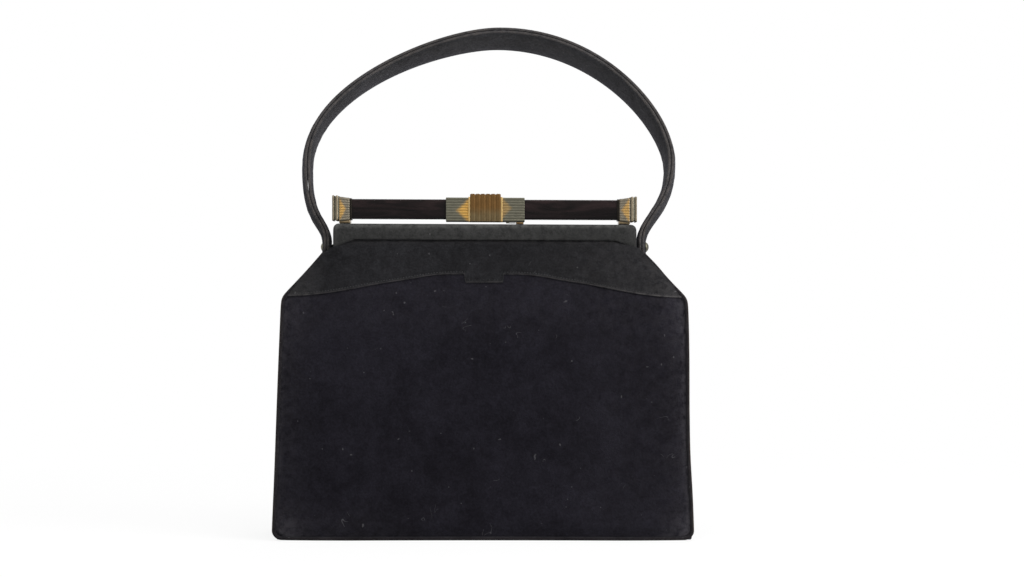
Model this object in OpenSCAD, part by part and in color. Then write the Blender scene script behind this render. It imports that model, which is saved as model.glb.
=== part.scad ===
// Suede frame handbag with a slide clasp on a bar and a padded strap handle.
// Millimetres. The base stands on Z = 0, the front faces -Y, X runs to the viewer's right.

/* [Body] */
// Width of the base over the edge welts
base_w = 252; // [230:1:280]
// Depth of the base from front to back
base_d = 76; // [64:1:92]
// Outward step of the shoulders beyond the neck corners
shoulder_out = 25; // [20:0.5:34]
// Height of the yokes from the shoulders to the frame strip
yoke_h = 34; // [30:1:42]
// Depth at the shoulders
shoulder_d = 50; // [44:1:62]
// Swell of the panels at mid height
panel_swell = 4; // [0:0.5:8]
// Swell of the yokes at mid height
yoke_swell = 1.5; // [0.5:0.25:3]
// Thickness of the front and back panels
panel_t = 2.4; // [1.8:0.1:3.2]
// Thickness of the yokes
yoke_t = 2.2; // [1.6:0.1:2.4]
// Step by which the yokes stand proud of the panels
yoke_step = 0.8; // [0.2:0.1:1.4]
// Radius of the bottom corners over the welts
corner_r = 6; // [4.5:0.5:10]
// Rise of the yoke seam from the shoulders to the middle
seam_rise = 13.2; // [8:0.2:18]
// Half width of the level stretch of the yoke seam
seam_level = 20; // [16:1:40]
// Width of the tab at the middle of the yokes
yoke_tab_w = 24.6; // [16:0.2:30]
// Drop of the tab below the yoke seam
yoke_tab_drop = 4.8; // [2:0.2:7]
// Width of the edge welts
welt_w = 2.4; // [1.6:0.1:3.2]
// Thickness of the edge welts
welt_t = 2.6; // [1.8:0.1:3.4]
// Thickness of the gussets
gusset_t = 1.5; // [1:0.1:2]
// Inward fold of the gussets at the shoulders
gusset_fold = 14; // [6:0.5:18]
// Inward fold of the gussets at their top ends
gusset_top_fold = 4; // [2:0.5:5]
// Height left free between the gussets and the neck corners
gusset_drop = 6.4; // [6:0.2:10]
// Thickness of the base panel
base_t = 3; // [2:0.2:4]
// Thickness of the stiffening board on the base
board_t = 2; // [1.2:0.2:3]
// Thickness of the lining
lining_t = 0.8; // [0.5:0.1:1.2]
// Slack between the lining and the walls
lining_gap = 0.8; // [0.6:0.1:1.6]
// Distance of the lining's upper edge below the shoulders
lining_drop = 2; // [1:0.5:10]

/* [Frame] */
// Height of the frame's top above the table
frame_h = 189.6; // [184:0.2:200]
// Width of the frame over its suede cover
frame_w = 181.6; // [174:0.2:188]
// Depth of one frame half over its cover
half_d = 12.3; // [11:0.1:14]
// Height of the frame strip
strip_h = 9.6; // [8:0.2:12]
// Radius of the strip's upper corners seen from the front
strip_r = 3.4; // [2.8:0.1:4]
// Rounding of the strip's long upper edges
strip_edge_r = 2; // [1.5:0.1:2.4]
// Thickness of the suede frame covers
cover_t = 1.1; // [0.8:0.1:1.4]
// Wall of the steel frame channels
steel_t = 1.2; // [0.8:0.1:1.4]
// Parting between the closed frame halves
parting = 0.6; // [0.4:0.1:1]
// Outward step of the neck corners beyond the frame
neck_out = 5.2; // [4.6:0.2:7]
// Drop of the neck corners below the strip
neck_drop = 6.6; // [6:0.2:9]
// Length of yoke edge left out of the channel at each end
tuck_end = 11.8; // [10:0.2:20]
// Height of yoke edge tucked into the channel
tuck_h = 4; // [2:0.2:5]
// Thickness of the frame legs
leg_t = 2; // [1.4:0.1:2.2]
// Width of the frame legs at the strip
leg_w = 6.4; // [4:0.2:6.6]
// Distance of the frame hinge axis below the strip
leg_l = 54; // [50:1:60]
// Radius of the hinge rivets' shanks
hinge_r = 2; // [1.5:0.1:2.4]
// Radius of the hinge eyes and rivet heads
eye_r = 4.6; // [4:0.1:5.4]

/* [Clasp] */
// Height of the bar
bar_h = 11.7; // [9:0.1:14]
// Depth of the bar
bar_d = 9.6; // [8:0.1:11]
// Rounding of the bar's long edges
bar_r = 1.4; // [0.6:0.1:2.4]
// Gap under the bar, above the frame
bar_lift = 2.8; // [2.6:0.1:4]
// Distance from the middle to the end caps
cap_x = 80.8; // [74:0.2:81]
// Length of the end caps' ribbed barrels
barrel_l = 6.8; // [6:0.1:8]
// Thickness of the end caps' flange plates
flange_l = 1.4; // [1:0.1:1.6]
// Width of the groove between the flange plates
groove_l = 0.5; // [0.3:0.1:0.8]
// Height by which the barrels rise towards the flanges
barrel_rise = 1; // [0:0.1:1.6]
// Margin of the flange plates around the barrels
flange_margin = 0.6; // [0.3:0.1:0.8]
// Depth of the sockets for the bar's ends
socket_l = 4; // [2:0.2:5]
// Width of the dark collars on the bar
collar_l = 1.3; // [0.8:0.1:2]
// Wall of the dark collars
collar_t = 0.7; // [0.5:0.1:1]
// Length of the clasp sleeve
sleeve_l = 47.4; // [42:0.2:54]
// Wall of the clasp sleeve
sleeve_t = 1.2; // [1:0.05:1.3]
// Running gap between the sleeve and the bar
sleeve_gap = 0.15; // [0.1:0.05:0.3]
// Offset of the clasp from the middle
clasp_x = 1; // [-3:0.5:3]
// Number of ribs on each face of the sleeve and end caps
rib_count = 12; // [8:1:14]
// Depth of the rib grooves
rib_depth = 0.3; // [0.15:0.05:0.4]
// Length of the thumb block
block_l = 17.8; // [14:0.2:24]
// Thickness of the thumb block over the sleeve
block_t = 2.4; // [1.6:0.1:3]
// Number of flutes on the thumb block
flute_count = 6; // [4:1:9]
// Depth of the flutes
flute_depth = 0.6; // [0.3:0.1:0.9]
// Thickness of the thumb block's side plates
side_plate_t = 0.7; // [0.5:0.1:1]
// Travel of the slide clasp
slide_travel = 4; // [3:0.5:5]
// Length of the keeper on the front frame half
keeper_l = 4.6; // [4.2:0.1:6]
// Distance of the keeper inside the sleeve's end
keeper_in = 0.7; // [0.4:0.1:1.5]
// Height of the keeper
keeper_h = 2; // [1.9:0.1:2.2]
// Wall of the keeper around its tunnel
keeper_t = 0.5; // [0.4:0.05:0.55]
// Width of the tongue under the sleeve
tongue_w = 2.4; // [1.8:0.1:2.8]
// Radius of the tenons on the posts and the keeper
tenon_r = 1.5; // [1:0.1:1.8]
// Thickness of the feet under the posts
foot_t = 0.8; // [0.6:0.1:1]
// Width of the posts
post_w = 6.2; // [5:0.2:6.6]

/* [Handle] */
// Height of the handle rivets below the strip
pivot_drop = 4.5; // [4.3:0.1:5]
// Radius of the ears that carry the handle rivets
ear_r = 3.9; // [3.2:0.1:4]
// Radius of the handle rivets' shanks
rivet_r = 1.7; // [1.2:0.1:2]
// Radius of the handle rivets' heads
rivet_head_r = 3.2; // [2.6:0.1:3.8]
// Height of the handle rivets' heads
rivet_head_h = 2; // [1.2:0.1:2.6]
// Lean of the handle towards the back
handle_lean = 24; // [10:1:34]
// Width of the handle strap
handle_w = 24; // [18:0.5:28]
// Thickness of the handle strap
handle_t = 6.6; // [5:0.2:8]
// Width of the end tabs
end_tab_w = 12; // [10:0.2:13]
// Thickness of the end tabs
end_tab_t = 5; // [3.4:0.1:5.2]
// Length of the end tabs above the rivets
end_tab_l = 9; // [8:0.5:11]
// Rise of the handle above the rivets
handle_rise = 144.8; // [120:0.2:160]
// Outward bow of the handle's left side beyond its end tab
left_bow = 15; // [11:0.2:20]
// Outward bow of the handle's right side beyond its end tab
right_bow = 19.8; // [12:0.2:24]
// Offset of the handle's crest towards the right
crest_x = 12; // [-10:1:20]

/* [Hidden] */
$fn = 48;

// Gap left between pieces that are sewn, glued or pressed together
fit = 0.1;
// Radial gap of the turning rivets
turn_gap = 0.05;
// Long enough to pass through the whole bag
through = 400;

strip_z = frame_h - strip_h;
shoulder_h = strip_z - yoke_h;
hinge_h = strip_z - leg_l;
inner_y = parting / 2;
outer_y = inner_y + half_d;
steel_in = cover_t + fit;
hollow_in = steel_in + steel_t;
frame_x = frame_w / 2;
neck_x = frame_x + neck_out;
neck_h = strip_z - neck_drop;
shoulder_w = 2 * (neck_x + shoulder_out);
tuck_x = frame_x - tuck_end;
tuck_y = outer_y - hollow_in - 3 * fit;
tuck_z = strip_z + tuck_h;
seam_end = shoulder_w / 2 - welt_w - fit;
tab_z = shoulder_h + seam_rise - yoke_tab_drop;
gusset_top = neck_h - gusset_drop;
lining_top = shoulder_h - lining_drop;
board_z = base_t + fit;
lining_z = board_z + board_t + fit;
leg_out_y = outer_y - hollow_in - yoke_t + leg_t / 2;
back_leg_x = frame_x - steel_in;
front_leg_x = back_leg_x - leg_t - 4 * fit;
pivot_z = strip_z - pivot_drop;
bar_z = frame_h + bar_lift;
bar_mid_z = bar_z + bar_h / 2;
sleeve_in = sleeve_gap + sleeve_t;
sleeve_z = bar_z - sleeve_in;
sleeve_top = bar_z + bar_h + sleeve_in;
sleeve_y = bar_d / 2 + sleeve_in;
sleeve_end = clasp_x + sleeve_l / 2;
block_top = sleeve_top + block_t;
block_y = sleeve_y + block_t - 0.4;
foot_y = inner_y + half_d / 2;
foot_z = frame_h + fit;
post_x = cap_x + barrel_l / 2 - 0.4;
cap_z = frame_h + foot_t + 7 * fit;
cap_top = sleeve_top - fit;
flange_x = cap_x + barrel_l;
keeper_x = sleeve_end - keeper_in - keeper_l;
keeper_y = sleeve_y - 2.6;
tunnel_z = foot_z + keeper_t;
tunnel_h = keeper_h - 2 * keeper_t;
relief_h = foot_z + keeper_h + 3 * fit - sleeve_z;
end_tab_x = frame_x + 4 * fit;

function lerp(a, b, t) = a + (b - a) * t;
function ease(t) = let (c = min(1, max(0, t))) c * c * (3 - 2 * c);
function swell(t) = 4 * t * (1 - t);
function reverse(v) = [for (i = [len(v) - 1:-1:0]) v[i]];
function flip_x(v) = [for (p = v) [-p[0], p[1]]];

// Half depth of the body's outer face at a height
function yoke_part(z) = (z - shoulder_h) / (strip_z - shoulder_h);
function body_y(z) = z <= shoulder_h
    ? lerp(base_d, shoulder_d, z / shoulder_h) / 2 + panel_swell * swell(z / shoulder_h)
    : z <= strip_z ? lerp(shoulder_d / 2, tuck_y, yoke_part(z)) + yoke_swell * swell(yoke_part(z)) : tuck_y;
function yoke_y(z) = body_y(z) + yoke_step * (1 - min(1, max(0, yoke_part(z))));

// Half width of the body over the welts at a height
function side_x(z) = z <= shoulder_h
    ? lerp(base_w / 2, shoulder_w / 2, z / shoulder_h)
    : lerp(shoulder_w / 2, neck_x, (z - shoulder_h) / (neck_h - shoulder_h));

// Height of the yoke seam across the front
function seam_z(x) = shoulder_h + seam_rise * ease((seam_end - abs(x)) / (seam_end - seam_level));
function seam_half(gap) = concat(
    [for (i = [0:12]) let (x = lerp(seam_end, yoke_tab_w / 2 + gap, i / 12)) [x, seam_z(x) - gap]],
    [[yoke_tab_w / 2 + gap, tab_z - gap]]);
function seam_line(gap) = concat(seam_half(gap), reverse(flip_x(seam_half(gap))));

// Bottom corner of the body, from the underside up to the side
function corner_half(inset) = [for (i = [0:6]) let (a = -90 + 15 * i)
    [base_w / 2 - corner_r + (corner_r - inset) * cos(a), corner_r + (corner_r - inset) * sin(a)]];
function flank_half(inset) = concat(corner_half(inset), [[shoulder_w / 2 - inset, shoulder_h - fit]]);
function flank_line(inset) = concat(reverse(flip_x(flank_half(inset))), flank_half(inset));

slab_heights = concat([for (i = [0:12]) shoulder_h * i / 12],
    [for (i = [1:6]) lerp(shoulder_h, strip_z, i / 6)], [tuck_z]);
yoke_heights = concat([shoulder_h - yoke_tab_drop], [for (i = [0:6]) lerp(shoulder_h, strip_z, i / 6)], [tuck_z]);

// Extrudes an outline in X and Z over the front half of the bag
module from_front(points) {
    rotate([90, 0, 0]) linear_extrude(through / 2) polygon(points);
}

// Extrudes an outline in Y and Z across the bag
module from_side(points, x0 = -through / 2, x1 = through / 2) {
    translate([x0, 0, 0]) rotate([90, 0, 90]) linear_extrude(x1 - x0) polygon(points);
}

module to_back() {
    mirror([0, 1, 0]) children();
}

module to_left() {
    mirror([1, 0, 0]) children();
}

// Skins a list of closed rings that have equal counts
module loft(rings) {
    count = len(rings[0]);
    last = (len(rings) - 1) * count;
    sides = [for (i = [0:len(rings) - 2], j = [0:count - 1], half = [0, 1])
        let (a = i * count + j, b = i * count + (j + 1) % count)
        half == 0 ? [a, b + count, b] : [a, a + count, b + count]];
    ends = [[for (j = [0:count - 1]) j], [for (j = [count - 1:-1:0]) last + j]];
    polyhedron([for (ring = rings) each ring], concat(ends, sides));
}

// Front panel and yoke

module panel_shape() {
    color([0.12, 0.12, 0.14]) intersection() {
        from_front(concat(reverse(flip_x(corner_half(welt_w + fit))), corner_half(welt_w + fit), seam_line(fit)));
        from_side(concat([for (z = slab_heights) [-body_y(z), z]],
            [for (z = reverse(slab_heights)) [panel_t - body_y(z), z]]));
    }
}

module yoke_shape() {
    top_half = [[shoulder_w / 2, shoulder_h], [neck_x, neck_h], [tuck_x, strip_z], [tuck_x, tuck_z]];
    color([0.15, 0.15, 0.16]) intersection() {
        from_front(concat(reverse(seam_line(0)), top_half, reverse(flip_x(top_half))));
        from_side(concat([for (z = yoke_heights) [-yoke_y(z), z]],
            [for (z = reverse(yoke_heights)) [yoke_t - yoke_y(z), z]]));
    }
}

module front_panel() {
    panel_shape();
}

module back_panel() {
    to_back() panel_shape();
}

module front_yoke() {
    yoke_shape();
}

module back_yoke() {
    to_back() yoke_shape();
}

// Edge welts around the sides and the bottom of each panel

module welt_shape() {
    color([0.2, 0.19, 0.18]) intersection() {
        from_front(concat(flank_line(0), reverse(flank_line(welt_w))));
        from_side(concat([for (z = slab_heights) [-body_y(z) - 4 * fit, z]],
            [for (z = reverse(slab_heights)) [welt_t - body_y(z) - 4 * fit, z]]));
    }
}

module front_welt() {
    welt_shape();
}

module back_welt() {
    to_back() welt_shape();
}

// Gussets, folded inwards along the middle

function fold(z) = z <= shoulder_h
    ? gusset_fold * ease(z / shoulder_h)
    : lerp(gusset_fold, gusset_top_fold, (z - shoulder_h) / (gusset_top - shoulder_h));
function gusset_x(z) = side_x(z) - welt_w - 2 * fit;
function wall_y(z) = body_y(z) - max(panel_t, yoke_t, welt_t) - fit;
function steps(z0, z1, count) = [for (i = [0:count]) lerp(z0, z1, i / count)];
gusset_heights = concat(steps(base_t + fit, shoulder_h, 24), steps(lerp(shoulder_h, gusset_top, 0.2), gusset_top, 4));

module gusset_shape() {
    color([0.12, 0.12, 0.14]) loft([for (z = gusset_heights) let (x = gusset_x(z), y = wall_y(z), f = fold(z)) [
        [x, -y, z], [x - f, 0, z], [x, y, z],
        [x - gusset_t, y, z], [x - f - gusset_t, 0, z], [x - gusset_t, -y, z]]]);
}

module right_gusset() {
    gusset_shape();
}

module left_gusset() {
    to_left() gusset_shape();
}

// Base, its board and the lining

module base_panel() {
    half_x = base_w / 2 - welt_w;
    half_y = body_y(0) - max(panel_t, welt_t) - fit;
    edge = [for (i = [0:6]) let (a = -90 + 15 * i) [half_x - base_t + base_t * cos(a), base_t + base_t * sin(a)]];
    color([0.12, 0.12, 0.14]) intersection() {
        translate([0, through / 4, 0]) from_front(concat(reverse(flip_x(edge)), edge));
        translate([-through / 2, -half_y, 0]) cube([through, 2 * half_y, base_t]);
    }
}

module base_board() {
    half_x = gusset_x(board_z) - gusset_t - fold(lining_z) - 2;
    half_y = wall_y(board_z) - 1;
    color([0.5, 0.42, 0.3]) translate([-half_x, -half_y, board_z]) cube([2 * half_x, 2 * half_y, board_t]);
}

function lining_ring(z, inset) = let (
    x = gusset_x(z) - gusset_t - lining_gap - inset, y = wall_y(z) - lining_gap - inset, f = fold(z)) [
    [x, -y, z], [x - f, 0, z], [x, y, z], [-x, y, z], [f - x, 0, z], [-x, -y, z]];

module lining() {
    color([0.1, 0.1, 0.11]) difference() {
        loft([for (z = steps(lining_z, lining_top, 24)) lining_ring(z, 0)]);
        loft([for (z = steps(lining_z + lining_t, lining_top + 1, 24)) lining_ring(z, lining_t)]);
    }
}

// Frame halves: a steel channel with legs under a suede cover

function rounded_top(half_w0, half_w1, z0, z1, r) = concat([[-half_w0, z0], [half_w1, z0]],
    [for (i = [0:8]) let (a = 90 * i / 8) [half_w1 - r + r * cos(a), z1 - r + r * sin(a)]],
    [for (i = [0:8]) let (a = 90 + 90 * i / 8) [r - half_w0 + r * cos(a), z1 - r + r * sin(a)]]);

module strip_block(inset, z0) {
    x = frame_x - inset;
    z1 = frame_h - inset;
    intersection() {
        from_front(rounded_top(x, x, z0, z1, strip_r - inset * 0.9));
        from_side(rounded_top(outer_y - inset, -inner_y - inset, z0, z1, max(0.2, strip_edge_r - inset)));
    }
}

// Upper edge of the yokes between the channel and the neck corners
function yoke_edge_z(x) = lerp(strip_z, neck_h, (x - tuck_x) / (neck_x - tuck_x));

// Skirt of the cover over the frame's shoulder, down to the yoke
module cover_skirt() {
    intersection() {
        from_front([[tuck_x, strip_z + 3 * fit], [frame_x, yoke_edge_z(frame_x) + 3 * fit],
            [frame_x, strip_z + 1], [tuck_x, strip_z + 1]]);
        translate([0, -outer_y, neck_h]) cube([through, half_d, strip_h + neck_drop]);
    }
}

module cover_shape() {
    color([0.2, 0.2, 0.2]) difference() {
        union() {
            strip_block(0, strip_z);
            cover_skirt();
            to_left() cover_skirt();
        }
        strip_block(cover_t, neck_h - 1);
        translate([-through / 2, -ear_r - 1, neck_h - 1]) cube([through, half_d, neck_drop + 1]);
    }
}

module channel_shape() {
    difference() {
        strip_block(steel_in, strip_z + 4 * fit);
        strip_block(hollow_in, strip_z - 1);
    }
}

// Leg outline in Y and Z, from the channel down to the hinge eye
leg_line = [[-leg_out_y, frame_h - hollow_in + 0.5], [leg_w - leg_out_y, frame_h - hollow_in + 0.5],
    [leg_w - leg_out_y, strip_z - 2], [eye_r - 1, hinge_h], [1 - eye_r, hinge_h], [-leg_out_y, strip_z - 2]];

module x_cylinder(r, x0, x1) {
    translate([x0, 0, 0]) rotate([0, 90, 0]) cylinder(r = r, h = x1 - x0);
}

module leg_shape(x1) {
    from_side(leg_line, x1 - leg_t, x1);
    translate([0, 0, hinge_h]) x_cylinder(eye_r, x1 - leg_t, x1);
}

module hinge_bores() {
    translate([0, 0, hinge_h]) x_cylinder(hinge_r + turn_gap, -through / 2, through / 2);
}

module front_frame_channel() {
    color([0.55, 0.55, 0.56]) difference() {
        union() {
            channel_shape();
            leg_shape(front_leg_x);
            to_left() leg_shape(front_leg_x);
        }
        hinge_bores();
        keeper_tenon(turn_gap);
    }
}

module front_frame_cover() {
    difference() {
        cover_shape();
        color([0.2, 0.2, 0.2]) keeper_tenon(turn_gap);
    }
}

module back_leg() {
    to_back() leg_shape(back_leg_x);
    translate([0, 0, pivot_z]) x_cylinder(ear_r, back_leg_x - leg_t, back_leg_x);
    translate([back_leg_x - leg_t, 0, pivot_z - ear_r]) cube([leg_t, leg_out_y, 2 * ear_r]);
}

module back_frame_channel() {
    color([0.55, 0.55, 0.56]) difference() {
        union() {
            to_back() channel_shape();
            back_leg();
            to_left() back_leg();
        }
        hinge_bores();
        translate([0, 0, pivot_z]) x_cylinder(rivet_r + turn_gap, -through / 2, through / 2);
        post_tenon(turn_gap);
        to_left() post_tenon(turn_gap);
    }
}

module back_frame_cover() {
    color([0.2, 0.2, 0.2]) difference() {
        to_back() cover_shape();
        post_tenon(turn_gap);
        to_left() post_tenon(turn_gap);
    }
}

// Rounded rivet head on the XY plane
module dome(r, h) {
    ball_r = (r * r + h * h) / (2 * h);
    intersection() {
        translate([0, 0, h - ball_r]) sphere(ball_r);
        cylinder(r = r, h = h);
    }
}

module hinge_rivet_shape() {
    x0 = front_leg_x - leg_t - 2 * fit;
    x1 = back_leg_x + 2 * fit;
    color([0.6, 0.6, 0.6]) translate([0, 0, hinge_h]) {
        x_cylinder(hinge_r, x0 - 0.5, x1 + 0.5);
        translate([x1, 0, 0]) rotate([0, 90, 0]) dome(eye_r - 1, 1.2);
        translate([x0, 0, 0]) rotate([0, -90, 0]) dome(eye_r - 1, 1.2);
    }
}

module right_hinge_rivet() {
    hinge_rivet_shape();
}

module left_hinge_rivet() {
    to_left() hinge_rivet_shape();
}

// Posts that carry the bar on the back frame half

module post_tenon(gap) {
    translate([post_x, foot_y, frame_h - hollow_in - 1]) cylinder(r = tenon_r + gap, h = hollow_in + 2);
}

module post_shape() {
    color([0.45, 0.33, 0.18]) {
        translate([post_x - post_w / 2 - 0.4, foot_y - post_w / 2, foot_z]) cube([post_w + 0.8, post_w, foot_t]);
        translate([post_x - post_w / 2, 2 * fit, foot_z]) cube([post_w, foot_y, cap_z - fit - foot_z]);
        post_tenon(0);
        translate([post_x, foot_y, frame_h - hollow_in - 1]) cylinder(r = tenon_r + 0.8, h = 1 - fit);
    }
}

module right_post() {
    post_shape();
}

module left_post() {
    to_left() post_shape();
}

// Ribbed outline in Y and Z, plain underneath

function ribs(a, b, out, count) = [for (i = [0:count - 1], k = [0, 1, 2])
    let (t = (i + [0.2, 0.5, 0.8][k]) / count, d = k == 1 ? -rib_depth : 0) [
        lerp(a[0], b[0], t) + out[0] * d, lerp(a[1], b[1], t) + out[1] * d]];

function ribbed_side(y, z0, z1) = concat([[y, z0]], ribs([y, z0], [y, z1 - 0.8], [1, 0], rib_count), [[y, z1 - 0.8]]);
function ribbed_line(y, z0, z1) = concat(
    ribbed_side(y, z0, z1), [[y - 0.8, z1]],
    ribs([y - 0.8, z1], [0.8 - y, z1], [0, 1], rib_count),
    [[0.8 - y, z1]], reverse(flip_x(ribbed_side(y, z0, z1))));

// Upright rectangle with rounded corners, centred on the bar
module bar_block(margin, r, x0, x1) {
    y = bar_d / 2 + margin;
    z = bar_h / 2 + margin;
    line = [for (q = [0:3], i = [0:6]) let (a = 90 * q + 15 * i) [
        (q == 0 || q == 3 ? y - r : r - y) + r * cos(a), bar_mid_z + (q < 2 ? z - r : r - z) + r * sin(a)]];
    from_side(line, x0, x1);
}

module clasp_bar() {
    color([0.1, 0.08, 0.08]) bar_block(0, bar_r, fit - cap_x - socket_l, cap_x + socket_l - fit);
}

module collar_shape() {
    color([0.07, 0.06, 0.06]) difference() {
        bar_block(collar_t + fit, bar_r, cap_x - fit - collar_l, cap_x - fit);
        bar_block(fit, bar_r, cap_x - collar_l - 1, cap_x + 1);
    }
}

module right_bar_collar() {
    collar_shape();
}

module left_bar_collar() {
    to_left() collar_shape();
}

module flange_plate(margin, x0, x1) {
    y = sleeve_y + margin;
    z0 = cap_z - margin;
    z1 = cap_top + barrel_rise + margin;
    r = 1.2;
    line = [for (q = [0:3], i = [0:6]) let (a = 90 * q + 15 * i) [
        (q == 0 || q == 3 ? y - r : r - y) + r * cos(a), (q < 2 ? z1 - r : z0 + r) + r * sin(a)]];
    from_side(line, x0, x1);
}

module end_cap_shape() {
    x2 = flange_x + flange_l;
    x3 = x2 + groove_l;
    color([0.5, 0.46, 0.36]) difference() {
        union() {
            intersection() {
                from_side(concat(ribbed_side(sleeve_y, cap_z, cap_top + barrel_rise + 2),
                    reverse(flip_x(ribbed_side(sleeve_y, cap_z, cap_top + barrel_rise + 2)))), cap_x, flange_x + 0.5);
                translate([0, through / 4, 0]) from_front([[cap_x - 1, cap_z - 1], [flange_x + 1, cap_z - 1],
                    [flange_x + 1, cap_top + barrel_rise], [cap_x - 1, cap_top]]);
            }
            flange_plate(flange_margin, flange_x, x2);
            flange_plate(-1, x2 - 0.5, x3 + 0.5);
            flange_plate(flange_margin, x3, x3 + flange_l);
        }
        bar_block(fit, bar_r, cap_x - 1, cap_x + socket_l);
    }
}

module right_end_cap() {
    end_cap_shape();
}

module left_end_cap() {
    to_left() end_cap_shape();
}

// Slide clasp: ribbed sleeve with a tongue, fluted thumb block and its side plates

module clasp_sleeve() {
    root = keeper_x - slide_travel - fit;
    color([0.45, 0.46, 0.42]) {
        difference() {
            from_side(ribbed_line(sleeve_y, sleeve_z, sleeve_top), clasp_x - sleeve_l / 2, sleeve_end);
            bar_block(sleeve_gap, bar_r, -through / 2, through / 2);
            translate([root, -through / 2, sleeve_z - 1]) cube([through, through / 2, relief_h + 1]);
        }
        translate([root - 4, -keeper_y - tongue_w / 2, tunnel_z + 2 * fit])
            cube([3, tongue_w, sleeve_z + sleeve_t / 2 - tunnel_z - 2 * fit]);
        translate([root - 4, -keeper_y - tongue_w / 2, tunnel_z + 2 * fit])
            cube([keeper_x - 2 * fit - root + 4, tongue_w, tunnel_h - 4 * fit]);
    }
}

// Scalloped edge that runs in X
function scallops(x0, x1, count) = [for (i = [0:count - 1], k = [0:5]) let (t = k / 6)
    [lerp(x0, x1, (i + t) / count), flute_depth * (sqrt(max(0, 1 - pow(2 * t - 1, 2))) - 1)]];

module thumb_block() {
    x0 = clasp_x - block_l / 2;
    x1 = clasp_x + block_l / 2;
    wave = concat(scallops(x0, x1, flute_count), [[x1, -flute_depth]]);
    color([0.45, 0.33, 0.18]) difference() {
        intersection() {
            translate([0, 0, sleeve_z]) linear_extrude(through / 4) polygon(concat(
                [for (p = wave) [p[0], block_y + p[1]]], [for (p = reverse(wave)) [p[0], -block_y - p[1]]]));
            translate([0, through / 4, 0]) from_front(concat([[x0, sleeve_z]],
                [for (p = wave) [p[0], block_top + p[1]]], [[x1, sleeve_z]]));
            from_side(rounded_top(block_y, block_y, sleeve_z, block_top, 1.6), x0, x1);
        }
        translate([x0 - 1, -sleeve_y - fit, 0]) cube([block_l + 2, 2 * (sleeve_y + fit), sleeve_top + fit]);
    }
}

module thumb_plate_shape(x0) {
    color([0.75, 0.58, 0.28]) difference() {
        from_side(rounded_top(block_y + fit, block_y + fit, sleeve_z, block_top + fit, 1.6), x0, x0 + side_plate_t);
        translate([x0 - 1, -sleeve_y - fit, 0])
            cube([side_plate_t + 2, 2 * (sleeve_y + fit), sleeve_top + fit]);
    }
}

module right_thumb_plate() {
    thumb_plate_shape(clasp_x + block_l / 2 + fit / 2);
}

module left_thumb_plate() {
    thumb_plate_shape(clasp_x - block_l / 2 - fit / 2 - side_plate_t);
}

// Keeper on the front frame half, with a tunnel for the tongue

module keeper_tenon(gap) {
    translate([keeper_x + keeper_l / 2, -keeper_y - tenon_r * 0.6, frame_h - hollow_in - 1])
        cylinder(r = tenon_r * 0.7 + gap, h = hollow_in + 2);
}

module keeper() {
    tunnel_w = tongue_w + 6 * fit;
    color([0.42, 0.3, 0.16]) {
        difference() {
            translate([keeper_x, -keeper_y - tunnel_w / 2 - 0.8, foot_z]) cube([keeper_l, tunnel_w + 1.6, keeper_h]);
            translate([keeper_x - 1, -keeper_y - tunnel_w / 2, tunnel_z]) cube([keeper_l + 2, tunnel_w, tunnel_h]);
        }
        translate([keeper_x + keeper_l / 2, -keeper_y - tenon_r * 0.6, frame_h - hollow_in - 1]) {
            cylinder(r = tenon_r * 0.7, h = hollow_in + 1 + fit + keeper_t / 2);
            cylinder(r = tenon_r, h = 1 - fit);
        }
    }
}

// Handle: two sewn strap halves between end tabs that swing on rivets

module lean_back() {
    translate([0, 0, pivot_z]) rotate([-handle_lean, 0, 0]) children();
}

end_x = end_tab_x + end_tab_t / 2;
left_reach = end_x + left_bow;
right_reach = end_x + right_bow;
strap_line = [[-end_x, end_tab_l - 8], [-end_x, end_tab_l + fit],
    [-lerp(end_x, left_reach, 0.82), handle_rise * 0.2], [-left_reach, handle_rise * 0.345],
    [-left_reach * 0.91, handle_rise * 0.6], [-left_reach * 0.51, handle_rise * 0.857],
    [crest_x, handle_rise], [right_reach * 0.59, handle_rise * 0.877],
    [right_reach * 0.885, handle_rise * 0.63], [right_reach, handle_rise * 0.36],
    [lerp(end_x, right_reach, 0.76), handle_rise * 0.2], [end_x, end_tab_l + fit], [end_x, end_tab_l - 8]];

function spline(p, i, t) = 0.5 * (2 * p[i] + (p[i + 1] - p[i - 1]) * t
    + (2 * p[i - 1] - 5 * p[i] + 4 * p[i + 1] - p[i + 2]) * t * t
    + (3 * p[i] - p[i - 1] - 3 * p[i + 1] + p[i + 2]) * t * t * t);
strap_path = concat([for (i = [1:len(strap_line) - 3], k = [0:4]) spline(strap_line, i, k / 5)],
    [strap_line[len(strap_line) - 2]]);

// Ring of one strap half at a step along the path, with the flat side on the seam
function strap_ring(k, out) = let (
    last = len(strap_path) - 1,
    way = k == 0 ? [0, 1] : k == last ? [0, -1] : strap_path[k + 1] - strap_path[k - 1],
    along = way / norm(way), t = ease(min(k, last - k) / 14),
    half_w = lerp(end_tab_w, handle_w, t) / 2, half_t = lerp(end_tab_t, handle_t, t) / 2) [
    for (a = [0, 20, 50, 90, 130, 160, 180]) let (
        y = half_w * cos(a), n = out * (0.5 * fit + (half_t - 0.5 * fit) * (0.22 + 0.78 * sin(a))))
        [strap_path[k][0] - along[1] * n, y, strap_path[k][1] + along[0] * n]];
function strap_flat(k, out) = let (ring = strap_ring(k, out), last = len(strap_path) - 1,
    way = k == 0 ? [0, 1] : k == last ? [0, -1] : strap_path[k + 1] - strap_path[k - 1],
    along = way / norm(way), n = out * 0.5 * fit, y = ring[0][1]) concat(ring, [
    [strap_path[k][0] - along[1] * n, -y, strap_path[k][1] + along[0] * n],
    [strap_path[k][0] - along[1] * n, y, strap_path[k][1] + along[0] * n]]);

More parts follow.
